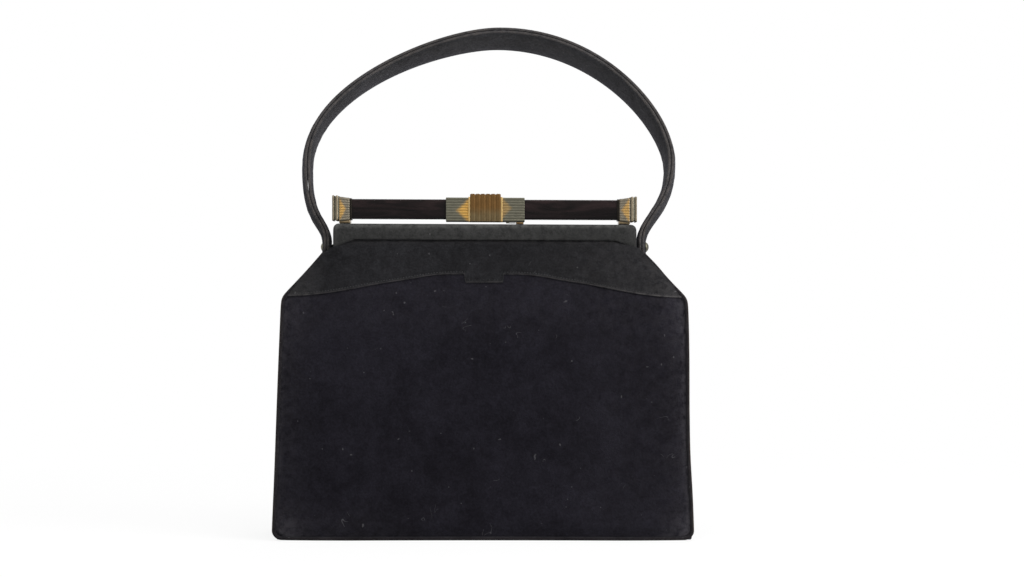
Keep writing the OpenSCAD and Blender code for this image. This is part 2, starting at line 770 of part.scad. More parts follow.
module handle_top() {
    color([0.2, 0.2, 0.2]) lean_back() loft([for (k = [0:len(strap_path) - 1]) strap_flat(k, 1)]);
}

module handle_underside() {
    color([0.17, 0.17, 0.17]) lean_back()
        loft([for (k = [0:len(strap_path) - 1]) reverse(strap_flat(k, -1))]);
}

module end_tab_shape() {
    color([0.16, 0.16, 0.16]) lean_back() difference() {
        union() {
            x_cylinder(end_tab_w / 2, end_tab_x, end_tab_x + end_tab_t);
            translate([end_tab_x, -end_tab_w / 2, 0]) cube([end_tab_t, end_tab_w, end_tab_l]);
        }
        x_cylinder(rivet_r + turn_gap, 0, through);
    }
}

module right_handle_tab() {
    end_tab_shape();
}

module left_handle_tab() {
    to_left() end_tab_shape();
}

module handle_rivet_shape() {
    head_x = end_tab_x + end_tab_t + 2 * fit;
    color([0.7, 0.7, 0.68]) translate([0, 0, pivot_z]) {
        x_cylinder(rivet_r, back_leg_x - leg_t, head_x + 0.5);
        x_cylinder(rivet_head_r, back_leg_x + fit, end_tab_x - 2 * fit);
        translate([head_x, 0, 0]) rotate([0, 90, 0]) dome(rivet_head_r, rivet_head_h);
    }
}

module right_handle_rivet() {
    handle_rivet_shape();
}

module left_handle_rivet() {
    to_left() handle_rivet_shape();
}

front_panel();
back_panel();
front_yoke();
back_yoke();
left_gusset();
right_gusset();
base_panel();
base_board();
lining();
front_welt();
back_welt();
front_frame_channel();
front_frame_cover();
keeper();
back_frame_channel();
back_frame_cover();
left_hinge_rivet();
right_hinge_rivet();
left_post();
right_post();
left_end_cap();
right_end_cap();
clasp_bar();
left_bar_collar();
right_bar_collar();
left_handle_rivet();
right_handle_rivet();
clasp_sleeve();
thumb_block();
left_thumb_plate();
right_thumb_plate();
handle_top();
handle_underside();
left_handle_tab();
right_handle_tab();
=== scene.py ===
import bisect
from math import copysign, cos, exp, hypot, log, pi, radians, sin, sqrt, tau
import bmesh
import bpy
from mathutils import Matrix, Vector, noise


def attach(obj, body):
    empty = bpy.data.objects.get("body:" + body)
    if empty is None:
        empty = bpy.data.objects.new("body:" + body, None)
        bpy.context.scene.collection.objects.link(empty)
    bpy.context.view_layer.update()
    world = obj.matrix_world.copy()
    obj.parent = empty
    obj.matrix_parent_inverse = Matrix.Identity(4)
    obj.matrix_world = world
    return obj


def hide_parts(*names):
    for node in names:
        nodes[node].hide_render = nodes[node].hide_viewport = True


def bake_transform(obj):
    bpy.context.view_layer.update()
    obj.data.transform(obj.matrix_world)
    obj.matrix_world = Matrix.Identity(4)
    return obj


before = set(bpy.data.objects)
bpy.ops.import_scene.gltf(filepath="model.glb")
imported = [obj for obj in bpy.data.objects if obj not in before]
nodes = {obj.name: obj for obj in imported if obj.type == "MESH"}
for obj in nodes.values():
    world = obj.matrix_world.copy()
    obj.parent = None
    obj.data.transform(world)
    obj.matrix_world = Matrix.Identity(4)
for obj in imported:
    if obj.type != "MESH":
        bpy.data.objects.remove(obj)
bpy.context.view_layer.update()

# The base: a rectangle of suede glued over a stiff fibre board, which stops the bag from sagging.
# The suede shows underneath; the board lies inside it, under the lining.
MM = 0.001
SHOULDER_Z = 146.0
WELT = 2.4
BASE_X, BASE_Y, BASE_Z, BASE_THICK = 122.8, 35.1, 1.9, 2.6


def between(a, b, t):
    return a + (b - a) * t


def spaced(first, last, steps):
    return [between(first, last, k / steps) for k in range(steps + 1)]


def ease(t):
    t = min(max(t, 0.0), 1.0)
    return t * t * (3 - 2 * t)


def ripple(x, y, z, size):
    return noise.noise(Vector((x / size, y / size, z / size)))


def shade(red, green, blue):
    steps = [c / 255 for c in (red, green, blue)]
    return tuple(c / 12.92 if c < 0.04045 else ((c + 0.055) / 1.055) ** 2.4 for c in steps) + (1.0,)


def make_piece(name, points, faces, *finishes):
    mesh = bpy.data.meshes.new(name)
    mesh.from_pydata([(x * MM, y * MM, z * MM) for x, y, z in points], [], faces)
    work = bmesh.new()
    work.from_mesh(mesh)
    bmesh.ops.remove_doubles(work, verts=work.verts, dist=1e-7)
    bmesh.ops.recalc_face_normals(work, faces=work.faces)
    work.to_mesh(mesh)
    work.free()
    for finish in finishes:
        mesh.materials.append(finish)
    mesh.polygons.foreach_set("use_smooth", [True] * len(mesh.polygons))
    piece = bpy.data.objects.new(name, mesh)
    bpy.context.scene.collection.objects.link(piece)
    return piece


def cut_sheet(rows, thick, face, turns=4):
    """Points and faces of a sheet of even thickness whose edge is rounded all round."""
    across = len(rows[0])
    face = Vector(face)
    middle = [Vector(p) for row in rows for p in row]
    count = len(middle)
    points = [p + face * thick / 2 for p in middle] + [p - face * thick / 2 for p in middle]
    faces = []
    for i in range(len(rows) - 1):
        for j in range(across - 1):
            a = i * across + j
            quad = (a, a + 1, a + across + 1, a + across)
            faces.append(quad)
            faces.append(tuple(k + count for k in reversed(quad)))
    last = len(rows) - 1
    loop = [j for j in range(across)]
    loop += [i * across + across - 1 for i in range(1, last + 1)]
    loop += [last * across + j for j in range(across - 2, -1, -1)]
    loop += [i * across for i in range(last - 1, 0, -1)]
    total = len(loop)
    centre = sum(middle, Vector()) / count
    outs = []
    for k in range(total):
        along = middle[loop[(k + 1) % total]] - middle[loop[k - 1]]
        outs.append(along.cross(face).normalized())
    if sum(outs[k].dot(middle[loop[k]] - centre) for k in range(total)) < 0:
        outs = [-out for out in outs]
    rings = [loop]
    for t in range(1, turns):
        angle = pi / 2 - pi * t / turns
        start = len(points)
        for k in range(total):
            swing = face * sin(angle) + outs[k] * cos(angle)
            points.append(middle[loop[k]] + swing * thick / 2)
        rings.append(list(range(start, start + total)))
    rings.append([k + count for k in loop])
    for ring, after in zip(rings, rings[1:]):
        for k in range(total):
            n = (k + 1) % total
            faces.append((ring[k], ring[n], after[n], after[k]))
    return points, faces


def mark_wear_and_light(piece, amount):
    """Keeps how rubbed each point is, and on some pieces the painted light laid over it, from 0 to 1, for the
    material to read.
    """
    mesh = piece.data
    kept = mesh.attributes.new("wear_and_light", "FLOAT", "POINT")
    if callable(amount):
        amount = [amount(*(v.co / MM)) for v in mesh.vertices]
    kept.data.foreach_set("value", amount)


def new_finish(name, rough, **sockets):
    """A new material with its nodes, its shader and the place on the piece that textures read."""
    finish = bpy.data.materials.new(name)
    finish.use_nodes = True
    tree = finish.node_tree
    skin = tree.nodes["Principled BSDF"]
    skin.inputs["Roughness"].default_value = rough
    for socket, value in sockets.items():
        skin.inputs[socket.replace("_", " ")].default_value = value
    return finish, tree, skin, tree.nodes.new("ShaderNodeTexCoord").outputs["Object"]


def plug(tree, socket, value):
    """Sets a socket to a value, or joins it to another socket."""
    if isinstance(value, bpy.types.NodeSocket):
        tree.links.new(value, socket)
    else:
        socket.default_value = value


def put(tree, kind, **sockets):
    node = tree.nodes.new(kind)
    for name, value in sockets.items():
        plug(tree, node.inputs[name.replace("_", " ")], value)
    return node


def calc(tree, work, *values):
    node = tree.nodes.new("ShaderNodeMath")
    node.operation = work
    for socket, value in zip(node.inputs, values):
        plug(tree, socket, value)
    return node.outputs[0]


def step(tree, value, low, high):
    node = put(tree, "ShaderNodeMapRange", Value=value, From_Min=low, From_Max=high)
    node.interpolation_type = "SMOOTHSTEP"
    return node.outputs[0]


def spread(tree, value, low, high):
    return put(tree, "ShaderNodeMapRange", Value=value, To_Min=low, To_Max=high).outputs[0]


def tint(tree, amount, under, over, way="MIX"):
    node = tree.nodes.new("ShaderNodeMix")
    node.data_type = "RGBA"
    node.blend_type = way
    for index, value in ((0, amount), (6, under), (7, over)):
        plug(tree, node.inputs[index], value)
    return node.outputs[2]


def grain(tree, place, scale, detail=3.0, rough=0.6, twist=0.0):
    node = put(tree, "ShaderNodeTexNoise", Vector=place, Scale=scale,
               Detail=detail, Roughness=rough, Distortion=twist)
    return node.outputs["Fac"]


def stretch(tree, place, x, y, z):
    return put(tree, "ShaderNodeMapping", Vector=place, Scale=(x, y, z)).outputs["Vector"]


def wear_and_light_amount(tree):
    """How rubbed the piece is at each point, with the painted light of some pieces, as mark_wear_and_light
    kept it.
    """
    node = tree.nodes.new("ShaderNodeAttribute")
    node.attribute_name = "wear_and_light"
    return node.outputs["Fac"]


def dress(tree, skin, colour, height, strength, deep, rough=None):
    """Joins a colour, a raised grain and, where it varies, the roughness to the shader."""
    plug(tree, skin.inputs["Base Color"], colour)
    if rough is not None:
        plug(tree, skin.inputs["Roughness"], rough)
    bump = put(tree, "ShaderNodeBump", Height=height, Strength=strength, Distance=deep)
    plug(tree, skin.inputs["Normal"], bump.outputs[0])


def suede_finish(name, deep, raised, rubbed, sheen=0.08):
    """Brushed suede: cloudy nap, fine grain, rubbed places with painted light on some pieces, and a little
    clinging lint.
    """
    finish, tree, skin, place = new_finish(name, 0.95, Specular_IOR_Level=0.04, Sheen_Weight=sheen,
                                           Sheen_Roughness=0.4, Sheen_Tint=shade(170, 168, 184))
    clouds = step(tree, grain(tree, place, 24.0, 5.0, 0.62, 0.5), 0.36, 0.66)
    tufts = step(tree, grain(tree, place, 150.0, 5.0, 0.68, 0.6), 0.33, 0.69)
    fine = grain(tree, place, 780.0, 3.0, 0.7)
    fibre = grain(tree, stretch(tree, place, 2600, 2600, 1500), 1.0, 2.0, 0.6, 0.4)
    lie = calc(tree, "MULTIPLY_ADD", clouds, 0.5, calc(tree, "MULTIPLY", tufts, 0.5))
    colour = tint(tree, lie, deep, raised)
    dark = tint(tree, 0.34, colour, (0.0, 0.0, 0.0, 1.0))
    light = tint(tree, 0.1, colour, raised, "ADD")
    colour = tint(tree, step(tree, fine, 0.3, 0.72), dark, light)
    patchy = step(tree, grain(tree, place, 240.0, 4.0, 0.7), 0.25, 0.65)
    # The rubbed colour follows the mark: real rubbing, and on the panels, yokes and welts also painted light.
    colour = tint(tree, calc(tree, "MULTIPLY", wear_and_light_amount(tree), patchy), colour, rubbed)
    strand = calc(tree, "SUBTRACT", grain(tree, place, 120.0, 1.0, 0.4, 0.8), 0.5)
    strand = step(tree, calc(tree, "ABSOLUTE", strand), 0.013, 0.004)
    patch = step(tree, grain(tree, stretch(tree, place, 88, 89, 90), 1.0, 0.0), 0.75, 0.79)
    dust = step(tree, grain(tree, stretch(tree, place, 410, 430, 420), 1.0, 0.0), 0.835, 0.88)
    lint = calc(tree, "MAXIMUM", calc(tree, "MULTIPLY", strand, patch), dust)
    colour = tint(tree, calc(tree, "MULTIPLY", lint, 0.15), colour, shade(128, 126, 128))
    height = calc(tree, "MULTIPLY_ADD", fine, 0.8, calc(tree, "MULTIPLY", tufts, 0.7))
    height = calc(tree, "MULTIPLY_ADD", fibre, 0.6, height)
    dress(tree, skin, colour, height, 0.6, 0.0004, spread(tree, lie, 0.98, 0.86))
    return finish


def coat(name, finish):
    """Gives its material to a solid that is shown as it is."""
    nodes[name].data.materials.clear()
    nodes[name].data.materials.append(finish)


panel_suede = suede_finish("panel_suede", shade(17, 16, 20), shade(28, 27, 33), shade(64, 62, 66))


def base_point(x, y):
    sag = 0.35 * (1 - (x / BASE_X) ** 8) * (1 - (y / BASE_Y) ** 8)
    return x, y, BASE_Z - sag + 0.12 * ripple(x, y, 7, 30)


rows = [[base_point(x, y) for x in spaced(-BASE_X, BASE_X, 84)] for y in spaced(-BASE_Y, BASE_Y, 24)]
base = make_piece("base_suede", *cut_sheet(rows, BASE_THICK, (0, 0, -1)), panel_suede)
mark_wear_and_light(base, lambda x, y, z: 0.8 * max(ease((abs(x) - 118) / 5), ease((abs(y) - 31) / 4)))
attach(base, "bag")
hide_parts("base_panel")

fibre_board, tree, skin, place = new_finish("fibre_board", 0.85)
flecks = step(tree, grain(tree, stretch(tree, place, 260, 900, 400), 1.0, 4.0, 0.7), 0.3, 0.75)
dress(tree, skin, tint(tree, flecks, shade(104, 88, 68), shade(146, 126, 98)), flecks, 0.3, 0.0003)
coat("base_board", fibre_board)

# The front and back panels: two pieces of suede over a thin stiffening, pillowed a little from side to side.
# Their edges turn back into the side seams, and their tops run on under the yokes.
PANEL_THICK = 2.4
PANEL_LOW = WELT
BASE_HALF = 126.2
CORNER_HALF, CORNER_Z, CORNER_SOFT = 122.1, 144.45, 1.3
NECK_HALF, NECK_Z = 95.9, 174.05
TURN = 6.0
BASE_OUT, SHOULDER_OUT, TOP_OUT = 38.0, 25.0, 9.9
WALL_SWELL, SHOULDER_SWELL = 4.0, 1.5
SHOULDER_RISE = 34.0
SEAM_LOW, SEAM_RISE, SEAM_HALF, SEAM_FLAT = 145.4, 13.5, 122.5, 20.0
SEAM_DIP, DIP_X, DIP_WIDE, SEAM_TILT = 0.7, 46, 13, 0.004


def hump(off, width):
    """A soft hump, 1 at its middle, at a distance off it."""
    return exp(-(off / width) ** 2)


def drawn_in(radius, past):
    """How far a rounded corner falls back at a distance past its start."""
    return radius - sqrt(max(radius ** 2 - past ** 2, 0.0))


def wall_out(z):
    """How far the bag's front and back stand from the middle at a height."""
    if z <= SHOULDER_Z:
        t = max(z, 0.0) / SHOULDER_Z
        return between(BASE_OUT, SHOULDER_OUT, t) + WALL_SWELL * 4 * t * (1 - t)
    t = min((z - SHOULDER_Z) / SHOULDER_RISE, 1.0)
    return between(SHOULDER_OUT, TOP_OUT, t) + SHOULDER_SWELL * 4 * t * (1 - t)


def side_out(z, hand):
    """How far the bag's side edge stands out: the left is straight, the right has slumped in a little."""
    t = (z - CORNER_Z) / (NECK_Z - CORNER_Z)
    upright = between(BASE_HALF, CORNER_HALF, max(z, 0.0) / CORNER_Z)
    slope = between(CORNER_HALF, NECK_HALF, t) - 0.7 * sin(pi * min(max(t, 0.0), 1.0))
    if hand < 0:
        upright += 0.5 * hump(z, 30)
        slope += 0.6 + 0.1 * (1 - t)
    else:
        upright += 0.5 * ease((z - 95) / 45) - 1.3 * hump(z - 68, 30) - 0.8 * ease((75 - z) / 35)
        slope += 0.8 * (0.5 - t) + 0.75 * hump(t - 0.68, 0.22)
    return min(upright, slope) - CORNER_SOFT * log(1 + exp(-abs(upright - slope) / CORNER_SOFT))


def foot_lift(x, z):
    """The bag stands on the two sides of its base: the middle and the corners are a hair off the ground."""
    return (0.5 * (x / BASE_HALF) ** 8 + 0.2 * max(1 - (x / 80) ** 2, 0.0)) * (1 - ease(z / 14))


def seam_height(x):
    """The height of the arched seam under the yokes, which dips a little on each side of the tab."""
    arch = SEAM_RISE * ease(max((SEAM_HALF - abs(x)) / (SEAM_HALF - SEAM_FLAT), 0.0) ** 1.1)
    return SEAM_LOW + arch - SEAM_DIP * hump(abs(x) - DIP_X, DIP_WIDE) - SEAM_TILT * x


def panel_point(u, v, way, seed):
    """A place on a panel: u runs from side to side, v from the base to the seam."""
    z = between(PANEL_LOW, seam_height(u * 120) + 4.5 * (1 - abs(u) ** 6), v)
    from_low = z - PANEL_LOW
    half = side_out(z, u) - WELT - drawn_in(TURN - WELT, max(TURN - WELT - from_low, 0.0))
    x = u * half
    from_side, from_seam = half - abs(x), seam_height(x) - z
    out = wall_out(z) - PANEL_THICK / 2
    out -= hypot(1.5 * hump(from_side, 4.2), 1.2 * hump(from_low, 3.6))
    calm = ease(from_side / 26) * ease(from_low / 22) * ease(from_seam / 16)
    out += calm * (1.0 * ripple(x, seed, z, 74) + 0.35 * ripple(x, seed + 40, z, 27) - 0.5)
    out -= 0.25 * ease((from_seam + 7) / 7) * hump(from_seam, 5)
    return x, way * out, z + foot_lift(x, z)


def panel_rows(way, seed):
    ups = [between(v, ease(v), 0.4) for v in spaced(0, 1, 80)]
    acrosses = [between(u, sin(u * pi / 2), 0.55) for u in spaced(-1, 1, 120)]
    return [[panel_point(u, v, way, seed) for u in acrosses] for v in ups]


# The panels' mark: rubbed rims, bottom edge and corners, with painted light and painted sheen laid over them.
def rubbed_and_lit_edges(x, y, z):
    from_side = side_out(z, x) - WELT - abs(x)
    corner = ease((abs(x) - 100) / 24) * ease((24 - z) / 22)
    low = hump(z - PANEL_LOW, 1.8)
    # Painted light from the right-hand lamp: the right side is lighter.
    right = ease((x - 30) / 60)
    # A narrow rubbed rim along the sides, painted lighter on the right.
    rim = (0.2 + 0.3 * right) * hump(from_side, 2.2)
    # A broad band along the sides, lighter higher up: painted sheen where the panel turns towards the lamps.
    side = (0.12 + 0.08 * ease((z - 90) / 50)) * hump(from_side, 13)
    # Lighter to the right and towards the top as painted light from the lamps, and lighter low on the left.
    lit_right_top_and_low_left = 0.05 * right + 0.06 * ease((z - 110) / 30) + 0.1 * ease((30 - z) / 30) * ease((-x - 20) / 60)
    return min(1.0, rim + side + lit_right_top_and_low_left + 0.3 * low * (0.25 + corner) + 0.38 * corner)


for name, way, seed in (("front", -1, 3.0), ("back", 1, 71.0)):
    points, faces = cut_sheet(panel_rows(way, seed), PANEL_THICK, (0, way, 0))
    panel = make_piece(name + "_panel_suede", points, faces, panel_suede)
    mark_wear_and_light(panel, rubbed_and_lit_edges)
    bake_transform(panel)
    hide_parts(name + "_panel")

# The gussets: the folded side walls of suede, each in a front and a back half that meet at the inward crease.
# Thin suede outside, the lining's cloth inside, sewn into the welted edges.
SIDES = ((-1, "left"), (1, "right"))
WAYS = (("front", -1), ("back", 1))
GUSSET_LOW, GUSSET_TOP, CREASE_TOP, GUSSET_THICK = 2.5, 172.4, 167.0, 1.3
GUSSET_IN, SEAM_BACK, TUCK_HALF = 2.95, 2.6, 90.6
FOLD_WIDE, FOLD_NARROW = 14.0, 4.0
lining_cloth, tree, skin, place = new_finish("lining_cloth", 0.8, Specular_IOR_Level=0.25, Sheen_Weight=0.15)
wave = put(tree, "ShaderNodeTexWave", Vector=place, Scale=520.0, Distortion=1.2, Detail=2.0)
wave.bands_direction = "Z"
ribs = wave.outputs["Fac"]
patches = step(tree, grain(tree, place, 34.0, 4.0, 0.6), 0.35, 0.7)
cloth = tint(tree, patches, shade(44, 40, 40), shade(60, 55, 54))
cloth = tint(tree, calc(tree, "MULTIPLY", ribs, 0.35), cloth, shade(30, 28, 29))
dress(tree, skin, cloth, ribs, 0.35, 0.0002)
gusset_suede = suede_finish("gusset_suede", shade(22, 21, 25), shade(34, 33, 39), shade(62, 57, 55))


def fold_depth(z):
    """How far in the crease lies at a height."""
    if z <= SHOULDER_Z:
        return FOLD_WIDE * ease(z / SHOULDER_Z)
    return between(FOLD_WIDE, FOLD_NARROW, (z - SHOULDER_Z) / (CREASE_TOP - SHOULDER_Z))


def gusset_point(s, v, way, hand):
    """A place on half a gusset: s runs from the seam to the crease, v from the base up."""
    z = between(GUSSET_LOW, between(GUSSET_TOP, CREASE_TOP, ease(s)), v)
    inward = fold_depth(min(z, CREASE_TOP)) * (0.25 * s + 0.75 * s ** 1.7)
    soft = 0.39 * (1 + ripple(z, way * 9, hand * 30, 36)) * sin(pi * s) * ease(z / 40)
    x = side_out(z, hand) - GUSSET_IN - inward + soft
    x = between(x, min(x, TUCK_HALF), ease((z - 152) / 8) * ease((s + 0.04) / 0.18))
    return hand * x, way * (wall_out(z) - SEAM_BACK) * (1 - s), z


def gusset_rows(way, hand):
    return [[gusset_point(s, v, way, hand) for s in spaced(0, 1, 24)] for v in spaced(0, 1, 63)]


for hand, side in SIDES:
    for name, way in WAYS:
        points, faces = cut_sheet(gusset_rows(way, hand), GUSSET_THICK, (hand, 0, 0), 3)
        half = make_piece(side + "_gusset_" + name, points, faces, gusset_suede, lining_cloth)
        for face in half.data.polygons:
            face.material_index = 1 if face.normal.x * hand < -0.2 else 0
        mark_wear_and_light(half, lambda x, y, z: 0.35 * hump(wall_out(z) - SEAM_BACK - abs(y), 2.4))
        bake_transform(half)
        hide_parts(side + "_gusset")

# The edge welts: the outside seams, where panel and gusset are turned to a narrow two-ply ridge and sewn.
# They run from neck to neck round the bottom, and their raw brown edge is the most rubbed part of the bag.
WELT_TOP, WELT_INSET, WELT_BACK = 172.0, 1.25, 1.15
WELT_OUT, WELT_DEEP, WELT_GROOVE = 1.12, 1.35, 0.35
welt_suede = suede_finish("welt_suede", shade(24, 23, 25), shade(39, 37, 39), shade(84, 74, 67))


def outline_walk(inset):
    """The bag's outline from the left neck down and round to the right neck, as (x, z, outward)."""
    heights = [between(WELT_TOP, 151.0, i / 20) for i in range(20)]
    heights += [between(151.0, 137.0, i / 20) for i in range(20)]
    heights += spaced(137.0, TURN, 56)
    walks = []
    for hand in (-1, 1):
        walk = []
        for z in heights:
            rise = (side_out(z + 0.1, hand) - side_out(z - 0.1, hand)) / 0.2
            out = Vector((1.0, -rise)).normalized()
            x = hand * (side_out(z, hand) - inset * out.x)
            walk.append((x, z - inset * out.y, (hand * out.x, out.y)))
        turn, reach = side_out(TURN, hand) - TURN, TURN - inset
        for i in range(1, 11):
            along, down = cos(pi / 20 * i), sin(pi / 20 * i)
            walk.append((hand * (turn + reach * along), TURN - reach * down, (hand * along, -down)))
        walk += [(hand * between(turn, 0.0, i / 60), inset, (0.0, -1.0)) for i in range(1, 61)]
        walks.append(walk)
    return walks[0] + walks[1][-2::-1]


def welt_ring(place, way):
    """Two plies pressed together: a rounded ridge with a fine groove along its outer edge."""
    x, z, (ox, oz) = place
    ring = []
    for k in range(16):
        a = pi / 8 * k
        out = copysign(abs(cos(a)) ** 0.7, cos(a)) * WELT_OUT
        deep = copysign(abs(sin(a)) ** 0.8, sin(a)) * WELT_DEEP
        if out > 0.6 and abs(deep) < 0.5:
            out -= WELT_GROOVE
        ring.append((x + ox * out, way * (wall_out(z) - WELT_BACK + deep), z + oz * out + foot_lift(x, z)))
    return ring


def tube(rings):
    """Closes a run of equal rings into a solid with flat ends."""
    size = len(rings[0])
    points = [p for ring in rings for p in ring]
    faces = []
    for i in range(len(rings) - 1):
        for k in range(size):
            n = (k + 1) % size
            faces.append((i * size + k, i * size + n, (i + 1) * size + n, (i + 1) * size + k))
    faces.append(tuple(range(size)))
    faces.append(tuple((len(rings) - 1) * size + k for k in range(size)))
    return points, faces


def welt_wear_and_right_light(x, y, z):
    """The raw edge is rubbed brown, most of all at the bottom corners and the shoulders; the right-hand welt
    is painted lighter still, as light from the right-hand lamp.
    """
    edge = side_out(z, x) - abs(x) if z > 7 else min(side_out(z, x) - abs(x), z)
    rub_and_light = 0.5 + 0.3 * ease((34 - z) / 30) * ease((abs(x) - 90) / 30)
    # The second term is painted light from the right-hand lamp, not rubbing.
    rub_and_light += 0.25 * hump(z - CORNER_Z, 9) + 0.3 * ease((x - 90) / 30)
    return (rub_and_light if z > 5 else rub_and_light * 0.55) * ease((0.95 - edge) / 0.7) * (0.8 + 0.5 * ripple(x, y, z, 16))


for name, way in WAYS:
    rings = [welt_ring(place, way) for place in outline_walk(WELT_INSET)]
    welt = make_piece(name + "_edge_welt", *tube(rings), welt_suede)
    mark_wear_and_light(welt, welt_wear_and_right_light)
    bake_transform(welt)
    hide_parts(name + "_welt")

# The yokes: the shaped top pieces, lapped over the panels on an arched line with a small square tab.
# The lapped edge is turned under, so that it stands proud, and is top-stitched close to the edge.
YOKE_THICK, YOKE_PROUD = 1.0, 0.8
YOKE_HALF, YOKE_TOP = 119.0, 179.7
TAB_HALF, TAB_LOW = 11.3, 154.15
TAB_MARKS = (-1.2, -0.8, -0.65, -0.5, -0.35, -0.2, -0.1, -0.03, 0.03, 0.08, 0.12, 0.17, 0.3, 0.6)
CUT_SHARE, CUT_X = 0.84, 79.0
EAR_X, EAR_Z = 93.6, 174.2
TUCKED_UNDER = 3.4
SEWN_IN, SEWN_HALF = 1.2, 113.0
STITCH_PITCH, STITCH_LONG, STITCH_THICK = 1.7, 1.3, 0.2
yoke_suede = suede_finish("yoke_suede", shade(20, 20, 21), shade(34, 34, 36), shade(72, 70, 70), 0.1)
thread_black, tree, skin, place = new_finish("thread_black", 0.6, Specular_IOR_Level=0.3)
wave = put(tree, "ShaderNodeTexWave", Vector=place, Scale=1300.0, Distortion=0.6)
wave.bands_direction = "DIAGONAL"
strand = wave.outputs["Fac"]
dress(tree, skin, tint(tree, strand, shade(23, 22, 23), shade(42, 41, 42)), strand, 0.4, 0.0001)


def lapped_edge(x):
    """The yoke's lower edge: the arched seam with its tab."""
    reach = abs(x) - TAB_HALF
    drop = 1.0 if reach < -0.7 else 0.0 if reach > 0.15 else 1 - ((reach + 0.7) / 0.85) ** 5
    return between(seam_height(x) + 0.15, TAB_LOW, drop)


def yoke_columns():
    """Columns across a yoke, close together at the two sides of its tab."""
    marks = [-1 + 2 * j / 150 for j in range(151)]
    for hand in (-1, 1):
        marks += [hand * (TAB_HALF + d) / YOKE_HALF for d in TAB_MARKS]
    return sorted(marks)


def yoke_out(z, x):
    """The outside of a yoke: lapped over the panel low down, let into the frame at the top."""
    t = ease((z - SHOULDER_Z) / SHOULDER_RISE)
    return wall_out(z) + between(YOKE_PROUD, 0.0, t) - 1.1 * ease((abs(x) / YOKE_HALF - 0.9) / 0.1) * (1 - t)


def yoke_point(u, v, way, seed):
    """A place on a yoke: u runs from side to side, v from the lapped edge to the frame."""
    foot = u * YOKE_HALF
    low = lapped_edge(foot)
    a = abs(u)
    if a < CUT_SHARE:
        top_x, top_z = a / CUT_SHARE * CUT_X, YOKE_TOP + TUCKED_UNDER * ease((CUT_SHARE - a) / 0.05)
    else:
        t = (a - CUT_SHARE) / (1 - CUT_SHARE)
        top_x, top_z = between(CUT_X, EAR_X, t), between(YOKE_TOP, EAR_Z, t)
    x = copysign(between(abs(foot), top_x, v), u)
    z = between(low, top_z, v)
    out = yoke_out(z, x) - YOKE_THICK / 2
    soft = sin(pi * v) ** 0.8 * ease((1 - a) / 0.08)
    out += soft * (0.9 * ripple(x, seed, z, 44) + 0.4 * ripple(x, seed + 9, z, 17) + 0.25)
    out += 0.2 * hump(z - low, 0.6) - 0.22 * hump(z - low - 1.15, 0.45)
    return x, way * out, z


def yoke_rows(way, seed):
    return [[yoke_point(u, v, way, seed) for u in yoke_columns()] for v in spaced(0, 1, 40)]


def lengths_of(line):
    """How far along a line each of its points is."""
    lengths = [0.0]
    for a, b in zip(line, line[1:]):
        lengths.append(lengths[-1] + (b - a).length)
    return lengths


def find_along(lengths, s):
    """The step of a line in which a length along it lies, and how far into that step."""
    k = min(max(bisect.bisect_left(lengths, s) - 1, 0), len(lengths) - 2)
    t = (s - lengths[k]) / max(lengths[k + 1] - lengths[k], 1e-9)
    return k, min(max(t, 0.0), 1.0)


def join_on(points, faces, more):
    """Adds another solid to the points and faces of a piece."""
    faces += [tuple(f + len(points) for f in face) for face in more[1]]
    points += more[0]


def stitches(line, ups):
    """Points and faces of a row of sewn stitches, each a short thread that dips in at both ends."""
    points, faces = [], []
    lengths = lengths_of(line)

    def at(s):
        k, t = find_along(lengths, s)
        return line[k].lerp(line[k + 1], t), ups[k].lerp(ups[k + 1], t).normalized()

    for n in range(int(lengths[-1] / STITCH_PITCH)):
        rings = []
        for k in range(7):
            t = k / 6
            s = (n + 0.5) * STITCH_PITCH + (t - 0.5) * STITCH_LONG
            here, up = at(s)
            ahead = (at(s + 0.2)[0] - at(s - 0.2)[0]).normalized()
            across = ahead.cross(up).normalized()
            lift = STITCH_THICK * (0.55 - 1.7 * abs(2 * t - 1) ** 3)
            girth = STITCH_THICK * (1.0 - 0.45 * abs(2 * t - 1) ** 3)
            turns = [tau * side / 7 for side in range(7)]
            round_about = [up * sin(a) + across * cos(a) for a in turns]
            rings.append([here + up * lift + way * girth for way in round_about])
        join_on(points, faces, tube(rings))
    return points, faces


def yoke_seam(way):
    """The line of top-stitching, close to the lapped edge."""
    line = []
    for x in spaced(-SEWN_HALF, SEWN_HALF, 470):
        reach = abs(x) - (TAB_HALF - SEWN_IN)
        drop = 1.0 if reach < -0.5 else 0.0 if reach > 0.3 else 1 - (reach + 0.5) / 0.8
        z = between(seam_height(x), TAB_LOW, drop) + SEWN_IN
        line.append(Vector((x, way * (yoke_out(z, x) - 0.28), z)))
    return line


def yoke_wear_and_light(x, y, z):
    """Rubbed along the lapped edge, towards the ears and under the frame, with painted light towards the
    right.
    """
    # The lapped edge's light line is partly rubbing and partly a painted highlight on the raised edge; its
    # right-hand part is painted light.
    edge = (0.35 + 0.25 * ease((x - 60) / 40)) * hump(z - lapped_edge(x), 0.5)
    # The second term lightens the whole yoke towards the right: painted light from the right-hand lamp.
    ends = 0.2 * ease((abs(x) - 92) / 20) + 0.12 * ease((x - 10) / 80)
    return min(1.0, edge + ends + 0.2 * hump(z - 179.2, 1.5))


for name, way, seed in (("front", -1, 15.0), ("back", 1, 133.0)):
    points, faces = cut_sheet(yoke_rows(way, seed), YOKE_THICK, (0, way, 0), 6)
    yoke = make_piece(name + "_yoke_suede", points, faces, yoke_suede)
    mark_wear_and_light(yoke, yoke_wear_and_light)
    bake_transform(yoke)
    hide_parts(name + "_yoke")
    line = yoke_seam(way)
    ups = [Vector((0, way, 0.15)).normalized()] * len(line)
    seam = make_piece(name + "_yoke_stitching", *stitches(line, ups), thread_black)
    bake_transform(seam)

